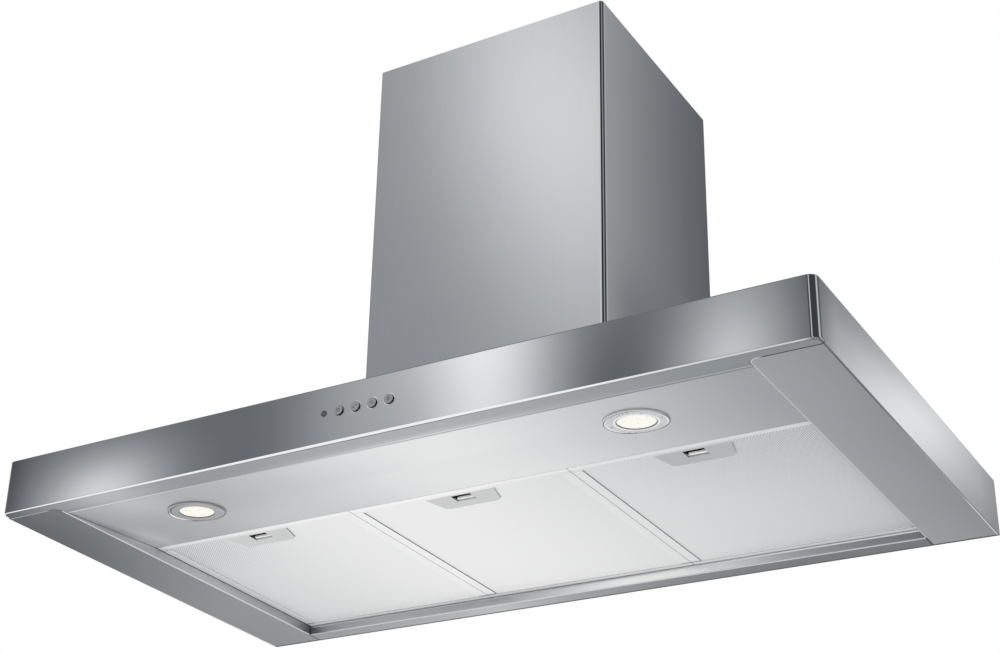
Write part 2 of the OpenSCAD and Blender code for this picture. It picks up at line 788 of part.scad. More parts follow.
module blower_box() {
    x = blower_w / 2;
    color(zinc) difference() {
        union() {
            span([-x, blower_front_y, canopy_h], [x, -blower_setback, blower_top]);
            span([-x - base_flange, blower_front_y, canopy_h],
                 [x + base_flange, -blower_setback, canopy_h + sheet]);
        }
        span([sheet - x, blower_front_y + sheet, canopy_h - cut],
             [x - sheet, -blower_setback - sheet, blower_top - sheet]);
        translate([0, outlet_y, blower_top - 2 * sheet]) intersection() {
            cylinder(r = collar_r - collar_wall - ledge_w, h = 3 * sheet);
            span([scroll_wall - scroll_half, -scroll_r1, -cut],
                 [scroll_half - scroll_wall, scroll_r1, 4 * sheet]);
        }
        for (p = blower_fixings) translate([p[0], p[1], canopy_h - cut])
            cylinder(d = screw_d, h = sheet + 2 * cut);
    }
}

module blower_screws() {
    color(steel_dark) for (p = blower_fixings) translate([p[0], p[1], canopy_h]) {
        translate([0, 0, -6]) cylinder(d = screw_d, h = 6 + sheet);
        translate([0, 0, sheet]) cylinder(d = screw_head_d, h = screw_head_h);
    }
}

module motor() {
    length = motor_len + 2 * motor_cap;
    color(steel_dark) translate([motor_end_x, scroll_y, scroll_z]) rotate([0, -90, 0])
        difference() {
            union() {
                cylinder(r = motor_r, h = motor_len);
                translate([0, 0, -motor_cap]) cylinder(r = shaft_r + 8, h = length);
            }
            translate([0, 0, -cut - motor_cap])
                cylinder(r = shaft_r + running_gap, h = length + 2 * cut);
        }
}

// Spider that carries the motor in the left inlet of the scroll
module motor_bracket() {
    arms = 3;
    arm_half = 6;
    t = 4;
    hoop = motor_r + 4;
    reach = inlet_r + 12;
    rim = 8;
    color(zinc) translate([-scroll_half, scroll_y, scroll_z]) rotate([0, -90, 0]) {
        difference() {
            cylinder(r = hoop, h = t);
            translate([0, 0, -cut]) cylinder(r = motor_r, h = t + 2 * cut);
        }
        difference() {
            cylinder(r = reach, h = t);
            translate([0, 0, -cut]) cylinder(r = reach - rim, h = t + 2 * cut);
        }
        for (k = [0:arms - 1]) rotate([0, 0, k * 360 / arms])
            span([hoop - 2, -arm_half, 0], [reach - rim / 2, arm_half, t]);
    }
}

module motor_shaft() {
    rear = motor_end_x - motor_len - 2 * motor_cap;
    front = disc_x + (disc_t + hub_len) / 2 + 3;
    color(steel) translate([rear, scroll_y, scroll_z]) rotate([0, 90, 0])
        cylinder(r = shaft_r, h = front - rear);
}

module impeller() {
    ring_t = 2;
    blade_lean = 20;
    half = impeller_len / 2;
    color(plastic_dark) translate([0, scroll_y, scroll_z]) rotate([0, 90, 0]) {
        difference() {
            union() {
                translate([0, 0, disc_x]) cylinder(r = impeller_r, h = disc_t);
                translate([0, 0, disc_x + (disc_t - hub_len) / 2])
                    cylinder(r = hub_r, h = hub_len);
            }
            translate([0, 0, -half]) cylinder(r = shaft_r, h = impeller_len);
        }
        for (z = [-half, half - ring_t]) translate([0, 0, z]) difference() {
            cylinder(r = impeller_r, h = ring_t);
            translate([0, 0, -cut]) cylinder(r = blade_inner_r, h = ring_t + 2 * cut);
        }
        for (k = [0:blade_count - 1]) rotate([0, 0, k * 360 / blade_count])
            translate([blade_inner_r + 1, 0, 0]) rotate([0, 0, blade_lean])
                span([0, -blade_t / 2, ring_t / 4 - half],
                     [blade_depth - 2, blade_t / 2, half - ring_t / 4]);
    }
}

module outlet_collar() {
    bore = collar_r - collar_wall;
    color(plastic_dark) translate([0, outlet_y, collar_z]) difference() {
        union() {
            cylinder(r = collar_r, h = collar_h);
            cylinder(r = collar_r + collar_flange, h = collar_flange_t);
        }
        translate([0, 0, -cut]) cylinder(r = bore - ledge_w, h = collar_h + 2 * cut);
        translate([0, 0, flap_ledge_z + ledge_t - collar_z]) cylinder(r = bore, h = collar_h);
        translate([0, 0, -cut]) cylinder(r = bore, h = flap_ledge_z - collar_z + cut);
        translate([-collar_r - cut, 0, flap_axis_z - collar_z]) rotate([0, 90, 0])
            cylinder(r = flap_pin_r, h = 2 * (collar_r + cut));
    }
}

module flap_pin() {
    half = collar_r - seat;
    color(steel) translate([-half, outlet_y, flap_axis_z]) rotate([0, 90, 0])
        cylinder(r = flap_pin_r, h = 2 * half);
}

// One half-round flap: dir is -1 for the front one and 1 for the rear one
module flap(dir) {
    knuckle = 26;
    inner = hinge_half - knuckle;
    starts = dir < 0 ? [-hinge_half, inner - knuckle - 1] : [1 - inner, inner];
    plate_z = flap_axis_z - barrel_r;
    color("#4a4d50") translate([0, outlet_y, 0]) difference() {
        union() {
            translate([0, 0, plate_z]) linear_extrude(flap_t) intersection() {
                circle(r = flap_r);
                translate([-flap_r, dir > 0 ? flap_fold : -flap_r - flap_fold])
                    square([2 * flap_r, flap_r]);
            }
            for (x = starts) {
                translate([x, 0, flap_axis_z]) rotate([0, 90, 0])
                    cylinder(r = barrel_r, h = knuckle);
                span([x, min(0, dir * (flap_fold + 1)), plate_z],
                     [x + knuckle, max(0, dir * (flap_fold + 1)), plate_z + flap_t]);
            }
        }
        translate([-collar_r, 0, flap_axis_z]) rotate([0, 90, 0])
            cylinder(r = flap_pin_r + running_gap, h = 2 * collar_r);
    }
}

module capacitor() {
    clip_w = 12;
    clip_half = 8;
    color("#c9ccce") translate([capacitor_x, capacitor_y, blower_top + capacitor_r]) {
        rotate([0, 90, 0]) cylinder(r = capacitor_r, h = capacitor_len);
        translate([(capacitor_len - clip_w) / 2, -clip_half, -capacitor_r])
            cube([clip_w, 2 * clip_half, 4]);
    }
}

module terminal_box() {
    wall = [terminal_wall, terminal_wall, terminal_wall];
    color(plastic_grey) difference() {
        span(terminal_low, terminal_high);
        span(terminal_low + wall, terminal_high - wall);
        translate([gland_x, gland_y, terminal_high[2] - 2 * terminal_wall])
            cylinder(r = stub_r, h = 3 * terminal_wall);
    }
}

module cable_gland() {
    hex_step = 1.5;
    body_r = stub_r + hex_step;
    body_h = 12;
    nut_h = 5;
    cap_h = 9;
    cap_z = 7;
    color(plastic_dark) translate([gland_x, gland_y, terminal_high[2]]) difference() {
        union() {
            cylinder(r = body_r + 2 * hex_step, h = nut_h, $fn = 6);
            cylinder(r = body_r, h = body_h);
            translate([0, 0, cap_z]) cylinder(r = body_r + hex_step, h = cap_h, $fn = 6);
            translate([0, 0, -stub_len]) cylinder(r = stub_r, h = stub_len + cut);
        }
        translate([0, 0, -stub_len - cut])
            cylinder(d = cable_hole_d, h = stub_len + cap_z + cap_h + 2 * cut);
    }
}

module lower_chimney() {
    color(steel) translate([0, 0, canopy_h]) linear_extrude(chimney_h)
        folded_plan(chimney_w / 2, -chimney_d, 0, chimney_r, chimney_flange);
}

// Positions of the screws that hold the bracket to the upper section
module at_bracket_screws() {
    for (s = SIDES) translate([s * upper_half, bracket_screw_y, bracket_z + bracket_h / 2])
        rotate([0, -s * 90, 0]) children();
}

module upper_chimney() {
    color(steel) difference() {
        translate([0, 0, upper_bottom]) linear_extrude(upper_top - upper_bottom)
            folded_plan(upper_half, upper_front_y, upper_rear_y, chimney_r - sheet - chimney_gap,
                        chimney_flange - sheet - chimney_gap);
        at_bracket_screws() translate([0, 0, -cut]) cylinder(d = screw_d, h = sheet + 2 * cut);
    }
}

module chimney_bracket() {
    side = upper_half - sheet;
    color(zinc) difference() {
        translate([0, 0, bracket_z]) linear_extrude(bracket_h) {
            translate([-bracket_half, -bracket_t]) square([2 * bracket_half, bracket_t]);
            both_sides() {
                translate([bracket_half - bracket_t, bracket_step_y])
                    square([bracket_t, -bracket_step_y]);
                translate([bracket_half - bracket_t, bracket_step_y])
                    square([side - bracket_half + bracket_t, bracket_t]);
                translate([side - bracket_t, 2 * bracket_step_y])
                    square([bracket_t, bracket_t - bracket_step_y]);
            }
        }
        for (s = SIDES)
            translate([s * bracket_hole_x, -bracket_t - cut, bracket_z + bracket_h / 2])
                along_y() cylinder(d = bracket_hole_d, h = bracket_t + 2 * cut);
        at_bracket_screws() cylinder(d = screw_d, h = sheet + bracket_t + cut);
    }
}

module bracket_screws() {
    grip = sheet + bracket_t;
    color(steel_dark) at_bracket_screws() {
        cylinder(d = screw_d, h = grip);
        translate([0, 0, grip]) cylinder(d = screw_head_d, h = screw_head_h);
    }
}

front_band();
top_cover();
back_wall();
mirror([1, 0, 0]) side_panel();  // side_panel_left
side_panel();  // side_panel_right
lamp_panel();
plenum_divider();
lamp_bezel(-1);  // lamp_bezel_left
lamp_bezel(1);  // lamp_bezel_right
lamp_lens(-1);  // lamp_lens_left
lamp_lens(1);  // lamp_lens_right
lamp_body(-1);  // lamp_body_left
lamp_body(1);  // lamp_body_right
control_housing();
control_board();
switch_block();
led_lens();
for (i = [1:BUTTONS]) button(i);
for (i = [1:FILTERS]) filter_frame(i);
for (i = [1:FILTERS]) filter_grille(i);
for (i = [1:FILTERS]) filter_pad(i);
for (i = [1:FILTERS]) catch_housing(i);
for (i = [1:FILTERS]) catch_slide(i);
for (i = [1:FILTERS]) catch_spring(i);
blower_box();
scroll_half(-1);  // scroll_left
scroll_half(1);  // scroll_right
motor();
motor_bracket();
motor_shaft();
impeller();
outlet_collar();
flap_pin();
flap(-1);  // flap_front
flap(1);  // flap_rear
capacitor();
terminal_box();
cable_gland();
blower_screws();
lower_chimney();
upper_chimney();
chimney_bracket();
bracket_screws();
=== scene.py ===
"""Looks of a wall-mounted range hood: brushed sheet steel, perforated filters, lamps and controls.

Everything is in metres in the part's own frame: X along the wall, the wall at Y = 0, the front
towards -Y, and Z = 0 at the canopy's underside. Tones are display greys from 0 to 1.
"""

import math

import bmesh
import bpy
from mathutils import Matrix, Vector


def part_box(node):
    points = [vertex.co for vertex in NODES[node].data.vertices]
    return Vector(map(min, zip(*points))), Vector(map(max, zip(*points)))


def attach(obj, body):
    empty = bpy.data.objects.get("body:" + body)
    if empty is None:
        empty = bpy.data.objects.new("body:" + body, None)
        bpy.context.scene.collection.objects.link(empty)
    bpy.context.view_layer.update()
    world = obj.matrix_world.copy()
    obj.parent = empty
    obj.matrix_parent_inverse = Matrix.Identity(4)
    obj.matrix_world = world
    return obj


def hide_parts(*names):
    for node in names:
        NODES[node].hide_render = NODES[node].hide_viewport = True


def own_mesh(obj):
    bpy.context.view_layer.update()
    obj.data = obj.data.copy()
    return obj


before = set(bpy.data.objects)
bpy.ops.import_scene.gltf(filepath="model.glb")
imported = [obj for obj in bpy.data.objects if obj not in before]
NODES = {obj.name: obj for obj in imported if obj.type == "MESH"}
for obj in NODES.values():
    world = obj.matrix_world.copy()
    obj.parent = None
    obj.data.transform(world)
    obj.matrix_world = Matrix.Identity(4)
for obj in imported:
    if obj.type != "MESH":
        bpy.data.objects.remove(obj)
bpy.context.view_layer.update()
MM = 0.001

FILTER_NUMBERS = range(1, 4)
BUTTON_NUMBERS = range(1, 5)

# Driving places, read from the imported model


def middle(node):
    """The centre of a node's box."""
    low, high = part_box(node)
    return (low + high) / 2


BAND_LOW, BAND_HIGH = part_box("front_band")
SIDE_LOW, SIDE_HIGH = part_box("side_panel_right")
CHIMNEY_LOW, CHIMNEY_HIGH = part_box("lower_chimney")
FILTER_LOW, FILTER_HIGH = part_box("filter_frame_2")
HALF_WIDTH = BAND_HIGH.x
FRONT_Y = BAND_LOW.y
REAR_LIP_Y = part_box("back_wall")[0].y
CATCH_FRONT_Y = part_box("catch_slide_1")[0].y
LAMPS = [middle("lamp_bezel_left"), middle("lamp_bezel_right")]
BUTTONS = [middle("button_%d" % number) for number in BUTTON_NUMBERS]
PILOT = middle("led_lens")

# Sizes of the sheet metal and the small parts
SHEET = 1.0 * MM
CORNER_R = 8.5 * MM
FOLD_R = 3.0 * MM
EDGE_R = 0.3 * MM
LIP_REAR_Y = FRONT_Y + 26 * MM
PANEL_CORNER_R = 8.0 * MM
CHIMNEY_BEND = 4.0 * MM
JOINT_GAP = 0.5 * MM
BEZEL_R = 31 * MM
LENS_R = 18 * MM
BUTTON_HOLE_R = 5.3 * MM
PILOT_R = 3.1 * MM

# A catch's finger tongue, from the slide's middle, underside and front end
TONGUE_LEFT = 7.8 * MM
TONGUE_RIGHT = 10.6 * MM
TONGUE_DROP = 0.15 * MM
TONGUE_HEIGHT = 2.2 * MM
TONGUE_SETBACK = 24 * MM
TONGUE_DEPTH = 2.6 * MM
TONGUE_EDGE_R = 0.5 * MM


def display_to_linear(v):
    """The linear value that renders as a display grey."""
    v = max(v, 0.0)
    return v / 12.92 if v <= 0.04045 else ((v + 0.055) / 1.055) ** 2.4


class Graph:
    """A material's node tree, with short calls for the formulas that its tones are made of."""

    def __init__(self, name, **sockets):
        self.material = bpy.data.materials.new(name)
        self.material.use_nodes = True
        self.nodes = self.material.node_tree.nodes
        self.links = self.material.node_tree.links
        self.shader = self.nodes["Principled BSDF"]
        coords = self.nodes.new("ShaderNodeTexCoord")
        self.place = coords.outputs["Object"]
        self.x, self.y, self.z = self.parts(self.place)
        self.nx, self.ny, self.nz = self.parts(coords.outputs["Normal"])
        for socket, value in sockets.items():
            self.set(socket.replace("_", " ").title(), value)

    def feed(self, socket, value):
        """Links a socket to another node's output, or sets its own value."""
        if isinstance(value, bpy.types.NodeSocket):
            self.links.new(value, socket)
        else:
            socket.default_value = value

    def set(self, socket, value):
        """Sets one of the shader's own sockets."""
        self.feed(self.shader.inputs[socket], value)

    def parts(self, vector):
        """The three numbers of a vector."""
        node = self.nodes.new("ShaderNodeSeparateXYZ")
        self.feed(node.inputs[0], vector)
        return node.outputs

    def math(self, operation, *values):
        node = self.nodes.new("ShaderNodeMath")
        node.operation = operation
        for socket, value in zip(node.inputs, values):
            self.feed(socket, value)
        return node.outputs[0]

    def vector(self, operation, *values):
        node = self.nodes.new("ShaderNodeVectorMath")
        node.operation = operation
        for socket, value in zip(node.inputs, values):
            self.feed(socket, value)
        return node.outputs["Value" if operation == "DOT_PRODUCT" else "Vector"]

    def add(self, *values):
        total = values[0]
        for value in values[1:]:
            total = self.math("ADD", total, value)
        return total

    def times(self, *values):
        total = values[0]
        for value in values[1:]:
            total = self.math("MULTIPLY", total, value)
        return total

    def square(self, value):
        return self.math("MULTIPLY", value, value)

    def smooth(self, value, low, high):
        """Goes smoothly from 0 at low to 1 at high, whichever of them is larger."""
        node = self.nodes.new("ShaderNodeMapRange")
        node.interpolation_type = "SMOOTHSTEP"
        for key, item in (("Value", value), ("From Min", low), ("From Max", high)):
            self.feed(node.inputs[key], item)
        return node.outputs[0]

    def window(self, value, low, high, soft):
        """1 between low and high, with soft ends."""
        rise = self.smooth(value, low - soft, low + soft)
        return self.times(rise, self.smooth(value, high + soft, high - soft))

    def distance(self, u, v, centre=(0.0, 0.0)):
        """How far a place lies from a centre, in the plane of u and v."""
        du, dv = self.add(u, -centre[0]), self.add(v, -centre[1])
        return self.math("SQRT", self.add(self.square(du), self.square(dv)))

    def mix(self, share, a, b):
        """Mixes two numbers: a where the share is 0, b where it is 1."""
        node = self.nodes.new("ShaderNodeMix")
        node.data_type = "FLOAT"
        for index, value in ((0, share), (2, a), (3, b)):
            self.feed(node.inputs[index], value)
        return node.outputs[0]

    def paint(self, tone, *coats):
        """Lays tones over a tone, each (share, tone)."""
        for share, value in coats:
            tone = self.mix(share, tone, value)
        return tone

    def blend(self, share, a, b):
        """Mixes two colours."""
        node = self.nodes.new("ShaderNodeMix")
        node.data_type = "RGBA"
        for index, value in ((0, share), (6, a), (7, b)):
            self.feed(node.inputs[index], value)
        return node.outputs[2]

    def ramp(self, value, stops):
        """A colour ramp through (position, colour) stops."""
        node = self.nodes.new("ShaderNodeValToRGB")
        elements = node.color_ramp.elements
        while len(elements) < len(stops):
            elements.new(0.5)
        for element, (position, colour) in zip(elements, stops):
            element.position = position
            element.color = (*colour, 1)
        self.feed(node.inputs[0], value)
        return node.outputs[0]

    def fade(self, squared):
        """A bell curve of a squared distance: 1 at 0, then falling towards 0."""
        return self.math("EXPONENT", self.times(squared, -1.0))

    def glow(self, centre, size):
        """A soft patch, 1 at its centre, fading over its size. A size of None ignores that axis."""
        shares = [0 if s is None else 1 / s for s in size]
        offset = [-c * s for c, s in zip(centre, shares)]
        node = self.nodes.new("ShaderNodeVectorMath")
        node.operation = "MULTIPLY_ADD"
        self.feed(node.inputs[0], self.place)
        self.feed(node.inputs[1], shares)
        self.feed(node.inputs[2], offset)
        distance = self.vector("DOT_PRODUCT", node.outputs[0], node.outputs[0])
        return self.fade(distance)

    def glows(self, base, *spots):
        """A base tone with soft patches, each (strength, centre, size)."""
        return self.add(base, *[self.times(self.glow(c, s), k) for k, c, s in spots])

    def noise(self, scale, detail=2.0):
        """Noise around 0, from about -0.5 to 0.5, with its own scale along each axis."""
        node = self.nodes.new("ShaderNodeTexNoise")
        self.feed(node.inputs["Vector"], self.vector("MULTIPLY", self.place, scale))
        self.feed(node.inputs["Scale"], 1.0)
        self.feed(node.inputs["Detail"], detail)
        return self.math("SUBTRACT", node.outputs["Fac"], 0.5)

    def grey(self, tone, cool=0.033):
        """Turns a display tone into a colour, cooler where it is darker."""
        stops = []
        for i in range(11):
            t = i / 10
            shift = cool * (1 - t)
            colour = [display_to_linear(v) for v in (t - 0.8 * shift, t, t + shift)]
            stops.append((t, colour))
        return self.ramp(tone, stops)

    def bump(self, height, strength):
        """Relief from a height, 0.2 mm deep at full strength."""
        node = self.nodes.new("ShaderNodeBump")
        self.feed(node.inputs["Strength"], strength)
        self.feed(node.inputs["Distance"], 0.2 * MM)
        self.feed(node.inputs["Height"], height)
        self.feed(self.shader.inputs["Normal"], node.outputs[0])

    def tangent(self, axis):
        """Stretches the reflections along a direction round an axis."""
        node = self.nodes.new("ShaderNodeTangent")
        node.direction_type = "RADIAL"
        node.axis = axis
        self.feed(self.shader.inputs["Tangent"], node.outputs[0])


# Materials, each with the photograph's broad reflections in its tone

HOLE_PITCH = 3.2 * MM
FINE_GRAIN = (900, 900, 900)
GRAIN_X = (6, 1400, 1400)
GRAIN_Y = (1400, 6, 1400)
GRAIN_Z = (1400, 1400, 6)
# A duller tint of the reflections at grazing angles, so that steel keeps its tone from every side
DULL_GRAZING = (0.6, 0.6, 0.6, 1)


def brush(g, tone, grain, amount=0.035, roughness=0.3):
    """Finishes a steel: fine streaks along the grain in its tone, gloss and relief."""
    streak = g.noise(grain, detail=3.0)
    cloud = g.noise((9, 9, 9), detail=3.0)
    g.set("Base Color", g.grey(g.add(tone, g.times(streak, amount), g.times(cloud, 0.02))))
    g.set("Roughness", g.add(roughness, g.times(streak, 0.12)))
    g.bump(streak, 0.15)


def at_wall(g):
    """1 on the last millimetres before the wall, which lie in shadow."""
    return g.smooth(g.y, -3.8 * MM, -3.2 * MM)


def band_steel():
    """The band's steel: light and dark reflections along it, at its corners and on its fold."""
    g = Graph("band_steel", metallic=1.0, anisotropic=0.5)
    low = g.glow((0, 0, -0.005), (None, None, 0.055))
    front = g.glows(
        0.385,
        (-0.10, (-0.47, 0, 0), (0.05, None, None)),
        (0.20, (0.0, 0, 0), (0.08, None, None)),
        (0.50, (0.135, 0, 0), (0.085, None, None)),
        (0.20, (0.375, 0, 0), (0.058, None, None)),
        (-0.05, (-0.455, 0, 0), (0.025, None, None)),
        (-0.06, (0.455, 0, 0), (0.025, None, None)),
    )
    near_edge = g.glows(
        0.0,
        (0.44, (-0.315, 0, 0), (0.09, None, None)),
        (-0.07, (0.09, 0, 0), (0.08, None, None)),
        (-0.06, (0.26, 0, 0), (0.04, None, None)),
        (0.17, (0.375, 0, 0), (0.058, None, None)),
    )
    front = g.add(front, g.times(low, near_edge))
    slant = g.add(g.y, g.times(g.add(g.z, -0.03), -2.0))
    across = g.math("DIVIDE", g.add(slant, 0.25), 0.19)
    side = g.add(
        0.39,
        g.times(0.45, g.fade(g.square(across))),
        g.times(g.smooth(g.y, -0.455, -0.495), -0.15),
        g.times(g.smooth(g.z, 0.025, 0.06), -0.06),
        g.times(g.smooth(g.y, -0.07, 0.0), -0.06),
    )
    under = g.glows(
        0.53,
        (0.19, (-0.31, 0, 0), (0.06, None, None)),
        (0.15, (0.05, 0, 0), (0.22, None, None)),
        (-0.36, (-0.48, 0, 0), (0.06, None, None)),
    )
    near_rear = g.smooth(g.y, LIP_REAR_Y - 12 * MM, LIP_REAR_Y - 3 * MM)
    rear_shine = g.glows(-0.04, (0.10, (0.05, 0, 0), (0.26, None, None)))
    under = g.add(under, g.times(near_rear, rear_shine))
    nx2, ny2, nz2 = g.square(g.nx), g.square(g.ny), g.square(g.nz)
    tone = g.add(g.times(nx2, side), g.times(ny2, front), g.times(nz2, under))
    # The front corners' bends reflect dark bars between light ones
    on_right = g.smooth(g.x, 0, 0.1)
    tone = g.paint(
        tone,
        (g.window(nx2, 0.10, 0.66, 0.03), 0.23),
        (g.times(on_right, g.window(nx2, 0.008, 0.045, 0.006)), 0.27),
        (g.times(on_right, g.window(nx2, 0.05, 0.10, 0.012)), 0.74),
        (g.times(on_right, g.window(nx2, 0.67, 0.85, 0.03)), 0.72),
        (g.times(on_right, g.window(nx2, 0.87, 0.97, 0.02)), 0.31),
    )
    # Light catches the fold below, widest in the middle, and the lip's rear edge at the right
    below = g.smooth(g.z, FOLD_R + 0.4 * MM, FOLD_R)
    wide = g.glow((0.01, 0, 0), (0.24, None, None))
    turned = g.times(g.add(nx2, ny2), nz2, 4.0)
    fold = g.smooth(turned, g.mix(wide, 0.72, 0.02), g.mix(wide, 0.96, 0.20))
    side_fold = g.mix(g.smooth(g.y, -0.32, -0.22), 0.33, 0.74)
    side_fold = g.mix(g.smooth(g.y, -0.13, -0.09), side_fold, 0.92)
    front_fold = g.mix(g.smooth(g.x, 0.22, 0.38), 0.97, 0.84)
    fold_tone = g.mix(g.smooth(ny2, 0.05, 0.30), side_fold, front_fold)
    fold_tone = g.mix(g.smooth(g.x, 0.436, 0.446), fold_tone, 0.50)
    lip_edge_y = g.smooth(g.y, LIP_REAR_Y - 2.4 * MM, LIP_REAR_Y - 1.8 * MM)
    rear_line = g.times(lip_edge_y, nz2, g.smooth(g.x, -0.15, 0.10), g.smooth(g.x, 0.44, 0.43))
    # Painted highlights on the rims of the button holes, at their lower right, and a painted dark
    # line along the top edge
    rim_r = BUTTON_HOLE_R + 0.8 * MM
    rims = [
        g.window(g.distance(g.x, g.z, (p.x, p.z)), BUTTON_HOLE_R, rim_r, 0.2 * MM)
        for p in BUTTONS
    ]
    lower_right = g.smooth(g.math("SUBTRACT", g.x, g.z), -0.06, -0.02)
    tone = g.paint(
        tone,
        (g.times(below, fold), fold_tone),
        (rear_line, g.mix(g.smooth(g.x, 0.06, 0.24), 0.86, 0.66)),
        (g.smooth(g.z, BAND_HIGH.z - 1.1 * MM, BAND_HIGH.z - 0.6 * MM), 0.42),
        (g.times(g.add(*rims), ny2, lower_right), 0.80),
    )
    brush(g, tone, GRAIN_X)
    g.tangent("Z")
    return g.material


def outline_depth(g):
    """How far a place lies inside a side panel's outline, round its inner front corner."""
    corner_x = SIDE_LOW.x + PANEL_CORNER_R
    corner_y = SIDE_LOW.y + PANEL_CORNER_R
    u = g.math("MAXIMUM", g.math("SUBTRACT", corner_x, g.math("ABSOLUTE", g.x)), 0.0)
    v = g.math("MAXIMUM", g.math("SUBTRACT", corner_y, g.y), 0.0)
    return g.math("SUBTRACT", PANEL_CORNER_R, g.distance(u, v))


def side_panel_steel():
    """The side panels' steel with painted reflections, darker at the left, with thin painted lines
    where their edges catch light or lie in shade.
    """
    g = Graph("side_panel_steel", metallic=1.0, anisotropic=0.4, specular_tint=DULL_GRAZING)
    panel_x = 416 * MM
    rear = g.smooth(g.y, -0.48, -0.12)
    left = g.add(0.470, g.times(rear, 0.168), g.times(g.add(g.x, panel_x), g.mix(rear, 1.5, 0.45)))
    right = g.add(0.648, g.times(g.add(g.x, -panel_x), -0.888))
    on_right = g.smooth(g.x, -0.05, 0.05)
    tone = g.mix(on_right, left, right)
    # The inner wall has the filters' reflection painted on it, and painted shade where it meets
    # them and the rear
    wall = g.square(g.nx)
    wall_tone = g.glows(
        0.73,
        (0.10, (0, -0.24, 0), (None, 0.10, None)),
        (0.19, (0, -0.46, 0), (None, 0.07, None)),
        (-0.18, (0, -0.015, 0), (None, 0.030, None)),
    )
    wall_tone = g.mix(g.smooth(g.z, 10.2 * MM, 10.8 * MM), wall_tone, 0.32)
    # Painted light and dark lines along the inner fold and the outer edge, and painted shadow at
    # the wall
    depth = outline_depth(g)
    inner_edge = g.times(g.smooth(depth, 1.5 * MM, 1.0 * MM), g.smooth(g.z, 1.5 * MM, 1.0 * MM))
    half = g.math("ABSOLUTE", g.x)
    corner_x = SIDE_LOW.x + PANEL_CORNER_R
    along_side = g.smooth(g.y, SIDE_LOW.y + 5 * MM, SIDE_LOW.y + 9 * MM)
    at_front = g.smooth(half, corner_x, corner_x + 8 * MM)
    left_line = g.mix(along_side, g.mix(at_front, 0.38, 0.73), 0.92)
    right_line = g.mix(along_side, g.mix(at_front, 0.83, 0.32), 0.81)
    before_lip = g.smooth(g.y, REAR_LIP_Y + 0.2 * MM, REAR_LIP_Y - 1.3 * MM)
    line = g.mix(before_lip, 0.36, g.mix(on_right, left_line, right_line))
    outer_line = g.mix(g.smooth(g.y, -0.13, -0.09), 0.68, 0.92)
    outer_line = g.mix(g.smooth(g.y, -0.40, -0.24), 0.40, outer_line)
    outer_edge = g.smooth(half, SIDE_HIGH.x - 1.3 * MM, SIDE_HIGH.x - 0.8 * MM)
    tone = g.paint(
        tone,
        (wall, wall_tone),
        (inner_edge, line),
        (outer_edge, outer_line),
        (g.times(at_wall(g), g.square(g.nz)), 0.30),
    )
    brush(g, tone, GRAIN_Y)
    return g.material


def lamp_panel_tone(g):
    """The lamp panel's tone with painted reflections, brightest in the middle of its width."""
    return g.glows(
        0.58,
        (0.335, (0.045, 0, 0), (0.25, None, None)),
        (0.11, (-0.31, -0.46, 0), (0.05, 0.05, None)),
        (-0.03, (0.37, 0, 0), (0.05, None, None)),
        (0.26, (-0.378, -0.345, 0), (0.025, 0.05, None)),
        (0.05, (-0.21, -0.34, 0), (0.07, 0.06, None)),
    )


def lamp_panel_steel():
    g = Graph("lamp_panel_steel", metallic=1.0, anisotropic=0.4)
    tone = lamp_panel_tone(g)
    # A crease line along the front lip, painted as a highlight at the left and as shade at the
    # right
    on_right = g.smooth(g.x, -0.15, 0.10)
    on_left = g.math("SUBTRACT", 1.0, on_right)
    light = g.times(on_left, g.smooth(g.y, LIP_REAR_Y + 4.2 * MM, LIP_REAR_Y + 3.4 * MM))
    dark = g.times(on_right, g.smooth(g.y, LIP_REAR_Y + 5.0 * MM, LIP_REAR_Y + 4.4 * MM))
    tone = g.paint(
        tone,
        (light, g.mix(g.smooth(g.x, -0.36, -0.10), 0.90, 0.72)),
        (dark, g.mix(g.smooth(g.x, 0.10, 0.30), 0.66, 0.48)),
    )
    brush(g, tone, GRAIN_X, amount=0.02)
    return g.material


def rear_steel():
    """The wall plate: bright steel where it is folded under the rear, with painted reflections, a
    painted shadow at the wall and painted highlights at the top of the upstand and on the fold,
    zinc behind.
    """
    g = Graph("rear_steel", metallic=1.0, anisotropic=0.3)
    lip = g.glows(
        0.38,
        (0.28, (-0.16, 0, 0), (0.25, None, None)),
        (0.07, (-0.12, 0, 0), (0.06, None, None)),
        (0.06, (-0.40, 0, 0), (0.06, None, None)),
    )
    upstand = g.glows(
        0.60,
        (0.14, (-0.28, 0, 0), (0.12, None, None)),
        (0.42, (0.08, 0, 0), (0.16, None, None)),
    )
    # Painted highlights: a light line along the top of the upstand, and one along the fold
    lit_upstand_top = g.window(g.z, 8.4 * MM, 11 * MM, 0.2 * MM)
    fold_y = g.smooth(g.y, REAR_LIP_Y + 2.1 * MM, REAR_LIP_Y + 1.5 * MM)
    fold = g.times(g.smooth(g.z, 1.3 * MM, 0.8 * MM), fold_y)
    on_right = g.smooth(g.x, -0.1, 0.3)
    spangle = g.noise((60, 60, 60), detail=4.0)
    behind = g.add(0.62, g.times(spangle, 0.16))
    tone = g.paint(
        lip,
        (at_wall(g), 0.17),
        (g.square(g.ny), upstand),
        (lit_upstand_top, g.mix(on_right, 0.70, 0.86)),
        (fold, 0.86),
        (g.smooth(g.z, 12 * MM, 14 * MM), behind),
    )
    brush(g, tone, GRAIN_X, amount=0.02)
    return g.material


